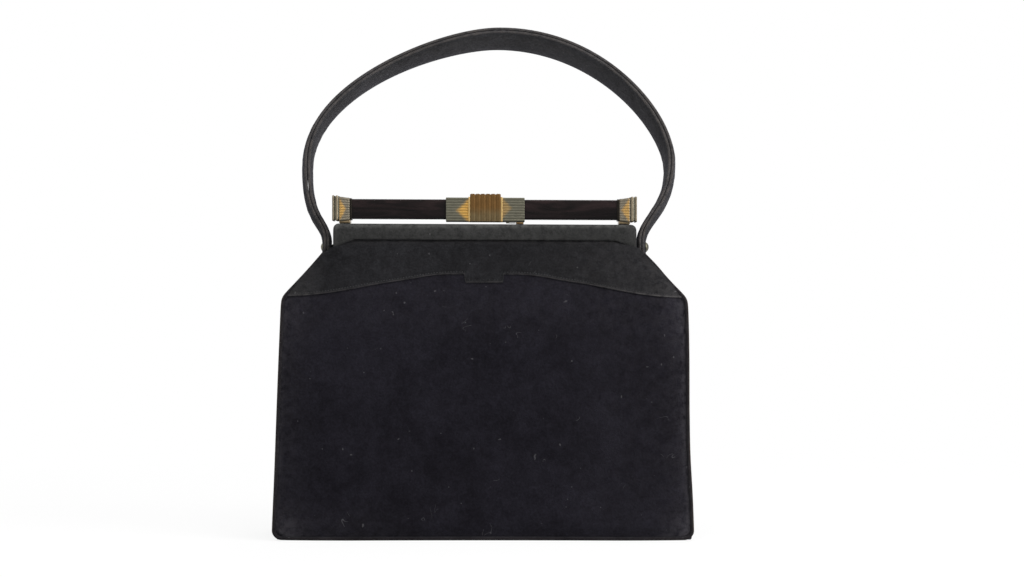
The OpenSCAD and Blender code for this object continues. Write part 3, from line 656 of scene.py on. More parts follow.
# The lining: a ribbed dark cloth bag glued inside, hung from the frame and laid over the base board.
# It shows only when the mouth is opened.
LINING_LOW, LINING_TOP, LINING_THICK = 6.5, 181.0, 0.7
LINING_BASE, LINING_SHOULDER, LINING_NECK = 116.5, 113.0, 86.0
LINING_BACK, LINING_TOP_BACK = 3.9, 2.2
FLOOR_X, FLOOR_Y, FLOOR_Z = 116.0, 32.6, 5.75
for name, way in WAYS:
    rows = []
    for z in spaced(LINING_LOW, LINING_TOP, 48):
        half, back = between(LINING_BASE, LINING_SHOULDER, z / SHOULDER_Z), LINING_BACK
        if z > SHOULDER_Z:
            half = between(LINING_SHOULDER, LINING_NECK, ease((z - SHOULDER_Z) / 18))
            back = between(LINING_BACK, LINING_TOP_BACK, (z - SHOULDER_Z) / SHOULDER_RISE)
        row = []
        for x in spaced(-half, half, 56):
            slack = 0.25 * ease(z / 30) * (1 + ripple(x, way * 20, z, 32))
            row.append((x, way * (wall_out(z) - back - slack), z))
        rows.append(row)
    lining = make_piece(name + "_lining", *cut_sheet(rows, LINING_THICK, (0, way, 0), 3), lining_cloth)
    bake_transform(lining)
    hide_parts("lining")
across = spaced(-FLOOR_X, FLOOR_X, 60)
rows = [[(x, y, FLOOR_Z + 0.25 * ripple(x, y, 3, 26)) for x in across] for y in spaced(-FLOOR_Y, FLOOR_Y, 18)]
floor_lining = make_piece("floor_lining", *cut_sheet(rows, LINING_THICK, (0, 0, 1), 3), lining_cloth)
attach(floor_lining, "bag")
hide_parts("lining")

# The frame: two bent steel channels with legs, joined at each side by a hinge rivet inside the bag.
# Plated once, now dull and spotted; the suede strips cover all but the legs.
frame_steel, tree, skin, place = new_finish("frame_steel", 0.4, Metallic=1.0)
spots = step(tree, grain(tree, place, 190.0, 6.0, 0.72), 0.46, 0.68)
drawn = grain(tree, stretch(tree, place, 60, 1500, 1500), 1.0, 2.0)
colour = tint(tree, spots, shade(92, 89, 83), shade(60, 53, 45))
dress(tree, skin, colour, drawn, 0.15, 0.0001, spread(tree, spots, 0.32, 0.62))
for name in ("front_frame_channel", "back_frame_channel", "left_hinge_rivet", "right_hinge_rivet"):
    coat(name, frame_steel)

# The frame covers: strips of suede drawn tight over the channels and tucked in underneath.
# Their ends lap down over the yoke's shoulders, and the top edge is rubbed grey by use.
STRIP_MID, STRIP_HALF = 0.45, 91.95
STRIP_LOW, STRIP_TOP = 179.7, 189.3
STRIP_OUT, STRIP_IN = 12.6, 0.3
TOP_ROUND, END_ROUND, EDGE_ROUND, BACK_ROUND = 3.4, 1.6, 2.4, 1.2
TUCK_OUT, HEM_OUT, TUCK_DEEP = 11.5, 12.0, 8.3
LAP_START, LAP_DROP = 79.0, 4.6 / 11.8
SLACK_MOST = 0.35
STRIP_END = 3.6
SAG = 0.0044
strip_suede = suede_finish("strip_suede", shade(33, 33, 33), shade(42, 42, 42), shade(84, 84, 82), 0.1)


def cover_ring(x, way):
    """A turned-over strip at one place along the frame: outside first, then back up the inside."""
    a = abs(x - STRIP_MID)
    top = STRIP_TOP - drawn_in(TOP_ROUND, max(a - STRIP_HALF + TOP_ROUND, 0.0))
    shy = drawn_in(END_ROUND, max(a - STRIP_HALF + END_ROUND, 0.0))
    face, back = STRIP_OUT - shy - SLACK_MOST, STRIP_IN
    skirt = STRIP_LOW + 0.1 - LAP_DROP * max(0.0, a - LAP_START)
    tuck = STRIP_LOW + min(TUCK_DEEP, max(0.4, (STRIP_HALF - 1.5 - a) * 6))
    slack = 0.22 * ripple(x, way * 5, 1, 14) + 0.1 * ripple(x, way * 5, 8, 5)
    ring = []
    for k in range(9):
        swell = SLACK_MOST * sin(pi * k / 8) + slack * sin(pi * (k + 1) / 10)
        ring.append((face + min(swell, SLACK_MOST), between(skirt, top - EDGE_ROUND, k / 8)))
    for k in range(1, 9):
        t = pi / 16 * k
        ring.append((face - EDGE_ROUND * (1 - cos(t)), top - EDGE_ROUND * (1 - sin(t))))
    for k in range(1, 7):
        ring.append((between(face - EDGE_ROUND, back + BACK_ROUND, k / 6), top + 0.12 * slack - 0.12))
    for k in range(1, 5):
        t = pi / 8 * k
        ring.append((back + BACK_ROUND * (1 - sin(t)), top - BACK_ROUND * (1 - cos(t))))
    ring += [(back, between(top, STRIP_LOW, 0.5)), (back, STRIP_LOW), (back + 1.0, STRIP_LOW)]
    ring += [(back + 1.0, tuck), (TUCK_OUT - shy, tuck), (TUCK_OUT - shy, skirt + 0.35)]
    ring.append((HEM_OUT - shy, skirt - 0.12))
    return [(x, way * y, z - SAG * x) for y, z in ring]


def strip_wear(x, y, z):
    """Rubbed grey along the top edge, and a little at the ends and the laps."""
    edge = 0.45 * ease((z - 185.9) / 2.4) * (0.5 + 0.5 * ease((abs(y) - 8) / 3))
    ends = 0.08 * ease((abs(x) - 87) / 3) + 0.2 * ease((176.2 - z) / 1.5)
    return min(1.0, 0.12 + 0.06 * ease((60 - abs(x)) / 30) + edge + ends)


for name, way in WAYS:
    straight = STRIP_HALF - STRIP_END
    ends = [straight + STRIP_END * sin(pi / 24 * k) for k in range(1, 13)]
    stations = [-x for x in reversed(ends)] + spaced(-straight, straight, 150) + ends
    rings = [cover_ring(STRIP_MID + x, way) for x in stations]
    cover = make_piece(name + "_strip_suede", *tube(rings), strip_suede)
    mark_wear_and_light(cover, strip_wear)
    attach(cover, name + "_frame")
    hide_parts(name + "_frame_cover")

# The posts: small brass feet riveted to the back half of the frame, which carry the end fittings.
# Dark with age, with bright worn corners.
PLATE_COLOURS = {
    "dark_brass": (shade(114, 92, 64), shade(66, 52, 37), shade(146, 120, 82)),
    "grey_brass": (shade(124, 108, 84), shade(76, 65, 49), shade(142, 126, 98)),
    "warm_pewter": (shade(118, 109, 92), shade(80, 73, 62), shade(144, 133, 113)),
    "pewter": (shade(92, 90, 78), shade(64, 63, 56), shade(106, 103, 90)),
    "pale_pewter": (shade(107, 101, 89), shade(71, 67, 58), shade(132, 124, 108)),
    "dark_iron": (shade(40, 37, 33), shade(24, 22, 20), shade(60, 56, 48)),
    "bronze": (shade(98, 75, 45), shade(66, 49, 30), shade(112, 88, 55)),
    "gilt": (shade(178, 138, 70), shade(116, 86, 42), shade(202, 166, 100)),
    "highlight_gold": (shade(186, 156, 102), shade(136, 108, 64), shade(206, 178, 126)),
}
SHINE_GOLD, SHINE_GOLD_DIM, SHINE_GOLD_LIT = PLATE_COLOURS["gilt"]


def plated_finish(name, shine_wedges=(), bronze=None, rough=0.36):
    """Old plating: dull in the hollows, bright where it is rubbed, with painted gold shine in wedges that run
    to a point, and on the block a painted reflection by height.
    """
    plain, hollow, bright = PLATE_COLOURS[name.split("_on_")[0]]
    finish, tree, skin, place = new_finish(name, rough, Metallic=1.0)
    x, y, z = put(tree, "ShaderNodeSeparateXYZ", Vector=place).outputs
    wear_and_light = wear_and_light_amount(tree)
    blotch = step(tree, grain(tree, place, 330.0, 5.0, 0.7, 0.4), 0.32, 0.7)
    colour = tint(tree, blotch, plain, tint(tree, 0.45, plain, hollow))
    # Painted reflection: the block's metal is bronze above the given heights and grey below them.
    if bronze is not None:
        warm, cool, low, high = bronze
        streaks = calc(tree, "MULTIPLY", grain(tree, stretch(tree, place, 500, 500, 90), 1.0, 3.0), 0.004)
        colour = tint(tree, step(tree, calc(tree, "ADD", z, streaks), low * MM, high * MM), cool, warm)
        colour = tint(tree, calc(tree, "MULTIPLY", blotch, 0.4), colour, hollow)
    dark, light = hollow, bright
    # Painted gold shine: on the caps a painted highlight, on the sleeve a painted reflection of the block.
    for base_x, tip_x, mid_z, half, strength in shine_wedges:
        along = calc(tree, "DIVIDE", calc(tree, "SUBTRACT", x, base_x * MM), (tip_x - base_x) * MM)
        off = calc(tree, "ABSOLUTE", calc(tree, "SUBTRACT", z, mid_z * MM))
        off = calc(tree, "ADD", along, calc(tree, "DIVIDE", off, half * MM))
        ragged = calc(tree, "SUBTRACT", grain(tree, stretch(tree, place, 400, 400, 1600), 1.0, 3.0), 0.5)
        inside = step(tree, calc(tree, "ADD", off, calc(tree, "MULTIPLY", ragged, 0.5)), 1.2, 0.7)
        inside = calc(tree, "MULTIPLY", inside, step(tree, along, -0.08, 0.0))
        inside = calc(tree, "MULTIPLY", inside, strength)
        painted_shine = tint(tree, blotch, SHINE_GOLD, tint(tree, 0.4, SHINE_GOLD, SHINE_GOLD_DIM))
        colour = tint(tree, inside, colour, painted_shine)
        dark = tint(tree, inside, dark, SHINE_GOLD_DIM)
        light = tint(tree, inside, light, SHINE_GOLD_LIT)
    deep = step(tree, wear_and_light, 0.55, 0.0)
    colour = tint(tree, calc(tree, "MULTIPLY", deep, 0.38), colour, dark)
    colour = tint(tree, calc(tree, "MULTIPLY", step(tree, wear_and_light, 0.6, 1.0), 0.3), colour, light)
    dull = calc(tree, "MULTIPLY_ADD", deep, 0.6, calc(tree, "MULTIPLY", blotch, 0.4))
    scratch = grain(tree, stretch(tree, place, 700, 2400, 2400), 1.0, 3.0, 0.7)
    dress(tree, skin, colour, scratch, 0.12, 0.0001, spread(tree, dull, rough - 0.08, rough + 0.22))
    return finish


def boxed(y_half, low, high, corner, per_corner=4, crown=0.0):
    """A rounded rectangle across the bag, as (y, z) points, its front and back a little crowned."""
    ring = []
    for cy, cz, start in ((y_half, high, 0), (-y_half, high, 1), (-y_half, low, 2), (y_half, low, 3)):
        oy, oz = cy - copysign(corner, cy), cz - copysign(corner, cz - (low + high) / 2)
        for k in range(per_corner + 1):
            a = pi / 2 * (start + k / per_corner)
            ring.append((oy + corner * cos(a), oz + corner * sin(a)))
        if start == 1 or start == 3:
            side = -y_half if start == 1 else y_half
            top, bottom = (high - corner, low + corner) if start == 1 else (low + corner, high - corner)
            for k in range(1, 8):
                t = k / 8
                ring.append((side + copysign(crown, side) * 4 * t * (1 - t), between(top, bottom, t)))
    return ring


def run_along(name, stations, section, *finishes):
    """A rod made of sections across the bag: stations are (x, how far the section is drawn in)."""
    rings = []
    for x, draw in stations:
        ring = section(x) if callable(section) else section
        widths, heights = zip(*ring)
        y_mid, z_mid = sum(widths) / len(ring), (min(heights) + max(heights)) / 2
        y_share, z_share = 1 - draw / (max(widths) - y_mid), 1 - draw / (max(heights) - z_mid)
        rings.append([(x, between(y_mid, y, y_share), between(z_mid, z, z_share) - SAG * x) for y, z in ring])
    return make_piece(name, *tube(rings), *finishes)


def rounded_ends(first, last, soft, middle=()):
    """Stations of a rod with softened ends."""
    turns = spaced(0, pi / 2, 4)
    bend = [(soft * (1 - cos(a)), soft * (1 - sin(a))) for a in turns]
    start = [(first + along, draw) for along, draw in bend]
    finish = [(last - along, draw) for along, draw in reversed(bend)]
    return start + [(x, 0.0) for x in middle] + finish


BAR_MID = 0.3
POST_NEAR, POST_FAR = 81.8, 88.5
FOOT_LOW, FOOT_HIGH, FOOT_HALF, FOOT_BACK = 186.4, 190.2, 4.65, 4.9
PLATE_LOW, PLATE_HIGH, PLATE_HALF, PLATE_BACK = 189.75, 191.9, 7.4, 2.2


def out_from_middle(hand, near, far):
    """Two places along the bar, on its left or its right half, in order."""
    return sorted((BAR_MID + hand * near, BAR_MID + hand * far))


def moved_back(back, ring):
    return [(y + back, z) for y, z in ring]


grey_brass = plated_finish("grey_brass")
for hand, side in SIDES:
    ends = out_from_middle(hand, POST_NEAR, POST_FAR)
    section = moved_back(FOOT_BACK, boxed(FOOT_HALF, FOOT_LOW, FOOT_HIGH, 0.4))
    foot = run_along(side + "_post_foot", rounded_ends(*ends, 0.4), section, grey_brass)
    section = moved_back(PLATE_BACK, boxed(PLATE_HALF, PLATE_LOW, PLATE_HIGH, 0.4))
    plate = run_along(side + "_post_plate", rounded_ends(*ends, 0.3), section, grey_brass)
    for piece in (foot, plate):
        mark_wear_and_light(piece, lambda x, y, z: 0.5 + 0.45 * ease((abs(y) - 4.4) / 0.6))
        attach(piece, "back_frame")
        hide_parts(side + "_post")

# The bar: a dark moulded bar, square with softened edges, held between the two end fittings.
# Glossy brown-black, with a fine haze of scratches and a painted reflection that makes it lighter above and
# darker below; a flat collar closes the joint at each end.
BAR_LOW, BAR_HIGH, BAR_DEEP, BAR_HALF = 192.3, 204.4, 4.55, 84.0
COLLAR_NEAR, COLLAR_FAR, COLLAR_DEEP = 80.7, 82.15, 5.6
COLLAR_LOW, COLLAR_HIGH = 191.6, 204.9
black_bar, tree, skin, place = new_finish("black_bar", 0.22, Specular_IOR_Level=0.1)
swirl = step(tree, grain(tree, stretch(tree, place, 26, 150, 190), 1.0, 4.0, 0.6, 1.4), 0.34, 0.72)
haze = grain(tree, stretch(tree, place, 160, 2600, 2600), 1.0, 4.0, 0.75)
height = put(tree, "ShaderNodeSeparateXYZ", Vector=place).outputs["Z"]
# Painted reflection: the bar is lighter in its upper half and darker below.
shaded_lower = tint(tree, swirl, shade(5, 4, 4), shade(20, 14, 15))
lit_upper = tint(tree, swirl, shade(15, 11, 11), shade(38, 28, 28))
colour = tint(tree, step(tree, height, BAR_LOW * MM, BAR_HIGH * MM), shaded_lower, lit_upper)
dress(tree, skin, colour, haze, 0.06, 0.0001, spread(tree, haze, 0.14, 0.36))
middle = spaced(-80, 80, 20)
stations = rounded_ends(BAR_MID - BAR_HALF, BAR_MID + BAR_HALF, 0.4, middle)
bar = run_along("black_bar_rod", stations, boxed(BAR_DEEP, BAR_LOW, BAR_HIGH, 0.8, 6, 0.22), black_bar)
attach(bar, "back_frame")
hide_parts("clasp_bar")
dark_iron = plated_finish("dark_iron")
for hand, side in SIDES:
    stations = rounded_ends(*out_from_middle(hand, COLLAR_NEAR, COLLAR_FAR), 0.35)
    section = boxed(COLLAR_DEEP, COLLAR_LOW, COLLAR_HIGH, 1.0)
    collar = run_along(side + "_collar", stations, section, dark_iron)
    mark_wear_and_light(collar, lambda x, y, z: 0.5)
    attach(collar, "back_frame")
    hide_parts(side + "_bar_collar")

# The end fittings: plated caps over the bar's ends, with fine ribs, a turned groove and a wider flange.
# Pewter grey with a painted gold highlight, a wedge that runs from the flange to a point.
CAP_MID, CAP_ROUGH = 198.25, 0.42
BARREL_NEAR, BARREL_FAR, BARREL_DEEP = 82.0, 88.6, 6.0
BARREL_LOW, BARREL_HIGH = 191.3, 205.1
CAP_RIBS, CAP_RIB_DEEP = 9, 0.17
FLARE, FLARE_NEAR, FLARE_LONG = 0.6, 82.6, 5.6
FLANGE_LOW, FLANGE_DEEP = 190.95, 6.7
BEAD_NEAR, BEAD_FAR, BEAD_HIGH = 89.0, 90.55, 206.5
GROOVE_NEAR, GROOVE_FAR, GROOVE_DEEP = 88.2, 92.0, 6.25
GROOVE_LOW, GROOVE_HIGH = 191.4, 206.0
RIM_NEAR, RIM_FAR, RIM_HIGH = 91.4, 92.65, 206.6


def ribbed(y_half, low, high, corner, ribs, depth):
    """A section whose front and back are a row of half-round ribs."""
    ring = []
    inner, top, bottom = y_half - depth - corner, high - corner, low + corner
    count = ribs * 8

    def side(sign, start, end):
        for k in range(count + 1):
            swell = abs(sin(pi * ribs * k / count)) ** 0.7
            ring.append((sign * (y_half - depth * (1 - swell)), between(start, end, k / count)))

    for turn, (y, z) in enumerate(((inner, top), (-inner, top), (-inner, bottom), (inner, bottom))):
        for k in range(5):
            a = pi / 2 * (turn + k / 4)
            ring.append((y + corner * cos(a), z + corner * sin(a)))
        if turn == 1:
            side(-1, top, bottom)
    side(1, bottom, top)
    return ring


def cap_flare(x):
    """How far the barrel widens towards the flange."""
    return FLARE * ease((abs(x - BAR_MID) - FLARE_NEAR) / FLARE_LONG)


def rib_wear(y, y_half, depth):
    """Rubbed on the ribs, dull between them."""
    return min(1.0, max(0.0, (abs(y) - (y_half - depth)) / depth))


# Painted highlight: a soft gold wedge on each barrel.
cap_highlight_wedges = [(-87.7, -83.9, CAP_MID + 0.2, 6.8, 0.75), (88.1, 83.4, CAP_MID - 0.5, 7.0, 0.7)]
pewter_caps = plated_finish("pale_pewter_on_caps", cap_highlight_wedges, rough=CAP_ROUGH)
warm_pewter = plated_finish("warm_pewter", rough=CAP_ROUGH)
pewter = plated_finish("pewter")
for hand, side in SIDES:
    x0, x1 = out_from_middle(hand, BARREL_NEAR, BARREL_FAR)
    along = spaced(x0 + 0.4, x1 - 0.4, 8)
    first, last = (0.3, -0.35) if hand > 0 else (-0.35, 0.3)
    stations = [(x0, first)] + [(x, -cap_flare(x)) for x in along] + [(x1, last)]
    section = ribbed(BARREL_DEEP, BARREL_LOW, BARREL_HIGH, 0.3, CAP_RIBS, CAP_RIB_DEEP)
    barrel = run_along(side + "_cap_barrel", stations, section, pewter_caps)
    mark_wear_and_light(barrel, lambda x, y, z: rib_wear(y, BARREL_DEEP + cap_flare(x), CAP_RIB_DEEP))
    bead = rounded_ends(*out_from_middle(hand, BEAD_NEAR, BEAD_FAR), 0.5)
    section = boxed(FLANGE_DEEP, FLANGE_LOW, BEAD_HIGH, 0.8)
    inner = run_along(side + "_cap_flange", bead, section, warm_pewter)
    groove = [(x, 0.0) for x in out_from_middle(hand, GROOVE_NEAR, GROOVE_FAR)]
    section = boxed(GROOVE_DEEP, GROOVE_LOW, GROOVE_HIGH, 0.8)
    neck = run_along(side + "_cap_groove", groove, section, pewter)
    rim = rounded_ends(*out_from_middle(hand, RIM_NEAR, RIM_FAR), 0.45)
    section = boxed(FLANGE_DEEP, FLANGE_LOW, RIM_HIGH, 0.9)
    outer = run_along(side + "_cap_end", rim, section, warm_pewter)
    for piece, wear_and_light in ((inner, 0.95), (neck, 0.35), (outer, 0.6)):
        mark_wear_and_light(piece, lambda x, y, z, wear_and_light=wear_and_light: wear_and_light)
    for piece in (barrel, inner, neck, outer):
        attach(piece, "back_frame")
        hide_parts(side + "_end_cap")

# The clasp: a ribbed pewter sleeve that slides along the bar, with two wedges of painted gold reflection of
# the block that point outwards.
# A small tongue under its right half goes into the keeper on the frame.
SLEEVE_LEFT, SLEEVE_RIGHT, SLEEVE_DEEP = -23.2, 24.7, 6.15
SLEEVE_LOW, SLEEVE_HIGH = 190.85, 205.5
SLEEVE_RIBS, SLEEVE_RIB_DEEP = 9, 0.18
TONGUE_LEFT, TONGUE_RIGHT, TONGUE_ROOT = 13.4, 19.2, 15.2
TONGUE_LOW, TONGUE_HIGH, ROOT_HIGH, TONGUE_HALF = 189.95, 190.42, 191.2, 1.15
KEEPER_MID = -3.55
# Painted reflection: the bronze block mirrored in the ribs beside it, as two gold wedges.
sleeve_reflection_wedges = [(-9.0, -16.7, CAP_MID - 0.6, 7.6, 0.95), (10.7, 17.0, CAP_MID + 1.0, 6.9, 0.4)]
pewter_sleeve = plated_finish("pewter_on_sleeve", sleeve_reflection_wedges, rough=CAP_ROUGH)
stations = rounded_ends(SLEEVE_LEFT, SLEEVE_RIGHT, 0.35, spaced(-21, 23, 22))
section = ribbed(SLEEVE_DEEP, SLEEVE_LOW, SLEEVE_HIGH, 0.12, SLEEVE_RIBS, SLEEVE_RIB_DEEP)
sleeve = run_along("clasp_sleeve_ribbed", stations, section, pewter_sleeve)
mark_wear_and_light(sleeve, lambda x, y, z: rib_wear(y, SLEEVE_DEEP, SLEEVE_RIB_DEEP))


def tongue_section(x):
    """A thin flat tongue, hung from a root under the sleeve."""
    high = ROOT_HIGH if x < TONGUE_ROOT else TONGUE_HIGH
    return moved_back(KEEPER_MID, boxed(TONGUE_HALF, TONGUE_LOW, high, 0.15))


middle = [14.5, TONGUE_ROOT - 0.01, TONGUE_ROOT + 0.01, 17.0]
stations = rounded_ends(TONGUE_LEFT, TONGUE_RIGHT, 0.15, middle)
tongue = run_along("clasp_tongue", stations, tongue_section, pewter)
mark_wear_and_light(tongue, lambda x, y, z: 0.4)
for piece in (sleeve, tongue):
    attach(piece, "clasp_slide")
    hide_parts("clasp_sleeve")

# The thumb block: a fluted saddle over the middle of the sleeve, which the thumb pushes, and two thin plates.
# Painted reflection makes it bronze at the top and grey lower down; the bright plates are painted highlights.
BLOCK_LEFT, BLOCK_RIGHT, BLOCK_DEEP = -8.5, 10.2, 8.15
BLOCK_LOW, BLOCK_HIGH = 190.8, 207.85
FLUTES, FLUTE_DEEP, CREST_LINE = 6, 0.55, 0.14
PLATE_WIDE, PLATE_DEEP, PLATE_TOP = 1.0, 7.9, 205.9
# Painted reflection bands: bronze above, grey below, between these heights.
bronze_reflection_bands = (shade(96, 71, 41), shade(95, 83, 60), 196.0, 202.5)
bronze_block = plated_finish("bronze_on_block", (), bronze_reflection_bands, 0.52)


def flute(x):
    """How full a flute is at a place along the block, and how near its crest line is."""
    t = FLUTES * (x - BLOCK_LEFT) / (BLOCK_RIGHT - BLOCK_LEFT)
    return abs(sin(pi * t)) ** 0.7, hump(t % 1.0 - 0.5, 0.07)


def fluted(x):
    full, crest = flute(x)
    sink = FLUTE_DEEP * (1 - full) + CREST_LINE * crest
    return boxed(BLOCK_DEEP - 0.5 * sink, BLOCK_LOW, BLOCK_HIGH - sink, 0.35, 5, 0.1)


def flute_wear(x, y, z):
    full, crest = flute(x)
    return 0.35 + 0.5 * full - 0.3 * crest


stations = [(between(BLOCK_LEFT, BLOCK_RIGHT, k / 144), 0.0) for k in range(145)]
block = run_along("thumb_block_fluted", stations, fluted, bronze_block)
mark_wear_and_light(block, flute_wear)
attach(block, "clasp_slide")
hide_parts("thumb_block")
# Painted highlights: bright gilt plates at the block's two ends, where its outer flutes catch the light.
highlight_gold = plated_finish("highlight_gold")
for side, x in (("left", BLOCK_LEFT - PLATE_WIDE), ("right", BLOCK_RIGHT)):
    section = boxed(PLATE_DEEP, BLOCK_LOW, PLATE_TOP, 0.35, 5)
    plate = run_along(side + "_bright_plate", rounded_ends(x, x + PLATE_WIDE, 0.2), section, highlight_gold)
    mark_wear_and_light(plate, lambda x, y, z: 0.85)
    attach(plate, "clasp_slide")
    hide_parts(side + "_thumb_plate")

# The keeper: a bent brass loop riveted through the front strip, which the tongue of the clasp slides into.
# A flat strip of dark brass with its corners bent round, open at both ends.
KEEPER_LEFT, KEEPER_RIGHT = 19.5, 24.0
KEEPER_HALF, KEEPER_FOOT, KEEPER_TOP = 2.1, 188.7, 190.62
KEEPER_BEND, KEEPER_THICK = 0.5, 0.28
dark_brass = plated_finish("dark_brass")
bends = [(-KEEPER_HALF, KEEPER_FOOT, (-1.0, 0.0))]
for hand in (-1, 1):
    for k in range(9):
        a = pi / 2 * ((2 if hand < 0 else 1) - k / 8)
        y = hand * (KEEPER_HALF - KEEPER_BEND) + KEEPER_BEND * cos(a)
        bends.append((y, KEEPER_TOP - KEEPER_BEND * (1 - sin(a)), (cos(a), sin(a))))
bends.append((KEEPER_HALF, KEEPER_FOOT, (1.0, 0.0)))
left_edge = [(0.12, -0.5), (0, -0.3), (0, 0.3), (0.12, 0.5)]
strip = left_edge + [(1 - share, -proud) for share, proud in left_edge]
rings = []
for y, z, (out_y, out_z) in bends:
    ring = []
    for share, proud in strip:
        x, proud = between(KEEPER_LEFT, KEEPER_RIGHT, share), proud * KEEPER_THICK
        ring.append((x, KEEPER_MID + y + out_y * proud, z + out_z * proud - SAG * x))
    rings.append(ring)
keeper = make_piece("keeper_loop", *tube(rings), dark_brass)
mark_wear_and_light(keeper, lambda x, y, z: 0.5 + 0.4 * ease((z - 190.4) / 0.2))
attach(keeper, "front_frame")
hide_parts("keeper")

# The handle: two strips of suede over a flat filling, turned in at the edges, sewn together and bowed.
# A dark groove shows between the two plies along each edge, and the outer edge is rubbed brown.
LEAN = radians(24)
PIVOT_Z = 175.5
END_X = 95.7
END_THICK, BOW_THICK = 3.0, 3.5
END_HALF, BOW_HALF, WIDENS_OVER = 6.0, 12.0, 70.0
PLY_LIFT, LIP_SHARE, SEWN_GROOVE = 0.12, 0.27, 2.1
SEWN_START = 13.0
strap_suede = suede_finish("strap_suede", shade(41, 41, 42), shade(57, 57, 59), shade(80, 75, 72), 0.12)
# The bow in its own plane, as (sideways, up from the pivots): upright at its ends and where it is widest,
# level at its crest. The pulls are how far the curve runs on straight: up from the end, below and above
# the widest place, and sideways from the crest.
BOW_START = 0.6
BOW_CREST = (9.0, 145.7)
BOW_WIDE = {-1: (-109.2, 55.5), 1: (114.8, 55.5)}
BOW_PULLS = {-1: (17.5, 41.0, 56.0, 36.5), 1: (18.0, 31.5, 33.0, 63.5)}


def bow_curves():
    """The four curves of the bow, from the left end over the crest to the right end."""
    curves = []
    for hand in (-1, 1):
        end_x, (wide_x, wide_up), (crest_x, crest_up) = hand * END_X, BOW_WIDE[hand], BOW_CREST
        rise, under, over, level = BOW_PULLS[hand]
        low = [(end_x, BOW_START), (end_x, BOW_START + rise), (wide_x, wide_up - under), (wide_x, wide_up)]
        high = [(wide_x, wide_up), (wide_x, wide_up + over), (crest_x + hand * level, crest_up), BOW_CREST]
        curves += [low, high] if hand < 0 else [high[::-1], low[::-1]]
    return [[Vector(place) for place in curve] for curve in curves]


def curve_point(curve, t):
    a, b, c, d = curve
    return a * (1 - t) ** 3 + b * 3 * t * (1 - t) ** 2 + c * 3 * t * t * (1 - t) + d * t ** 3


bow_line = [curve_point(curve, k / 70) for curve in bow_curves() for k in range(70)]
bow_line.append(Vector((END_X, BOW_START)))
bow_lengths = lengths_of(bow_line)
BOW_LENGTH = bow_lengths[-1]


def bow_at(along):
    """The strap's middle line at a length along it."""
    k, t = find_along(bow_lengths, along)
    return bow_line[k].lerp(bow_line[k + 1], t)


def leaned(x, across, up):
    """From the strap's own plane to the bag: the bow leans back from its pivots."""
    y = across * cos(LEAN) + up * sin(LEAN)
    return x, y, PIVOT_Z - across * sin(LEAN) + up * cos(LEAN)


def strap_station(along):
    """The strap at one place: its middle, the way out, half its width and thickness, and its twist."""
    here = bow_at(along)
    ahead = (bow_at(along + 2) - bow_at(along - 2)).normalized()
    widen = ease(min(along, BOW_LENGTH - along) / WIDENS_OVER)
    turned = 0.14 * hump(here.x + 75, 60) * ease(here.y / 115)
    twist = turned - 0.035 * ease((here.x - 10) / 70) * ease(here.y / 40)
    half_wide, half_thick = between(END_HALF, BOW_HALF, widen), between(END_THICK, BOW_THICK, widen)
    return here, Vector((-ahead.y, ahead.x)), half_wide, half_thick, twist


def end_half(up):
    """Half the width of a rounded end, at a height above or below the pivot."""
    return sqrt(END_HALF ** 2 - min(up, 0.0) ** 2)


def strap_stations():
    """From the rounded left end over the bow to the rounded right end."""
    ups = [between(-5.75, 0.45, sin(pi / 22 * k)) for k in range(12)]
    left = [(Vector((-END_X, up)), Vector((-1.0, 0.0)), end_half(up), END_THICK, 0.0) for up in ups]
    right = [(Vector((END_X, up)), Vector((1.0, 0.0)), end_half(up), END_THICK, 0.0) for up in reversed(ups)]
    return left + [strap_station(BOW_LENGTH * i / 272) for i in range(273)] + right


def strap_half(half_wide, half_thick):
    """One ply: a flat back, a turned edge, a sewn groove and a padded crown, as (across, out)."""
    lip = LIP_SHARE * half_thick
    base_half, low = half_wide - lip, PLY_LIFT + 2 * lip
    crown_half = max(half_wide - SEWN_GROOVE, 0.5 * half_wide)
    turns = [pi / 2 - pi * k / 8 for k in range(8)]
    edge = [(base_half + lip * cos(a), PLY_LIFT + lip + lip * sin(a)) for a in turns]
    ring = [(between(-base_half, base_half, k / 8), PLY_LIFT) for k in range(9)] + edge[::-1]
    for k in range(1, 24):
        across = between(1, -1, k / 24) * crown_half
        share = abs(across) / crown_half
        groove = 0.22 * hump((1 - share) * crown_half, 0.7)
        ring.append((across, low - groove + (half_thick - low) * (1 - share ** 2.4) ** 0.75))
    return ring + [(-across, out) for across, out in edge]


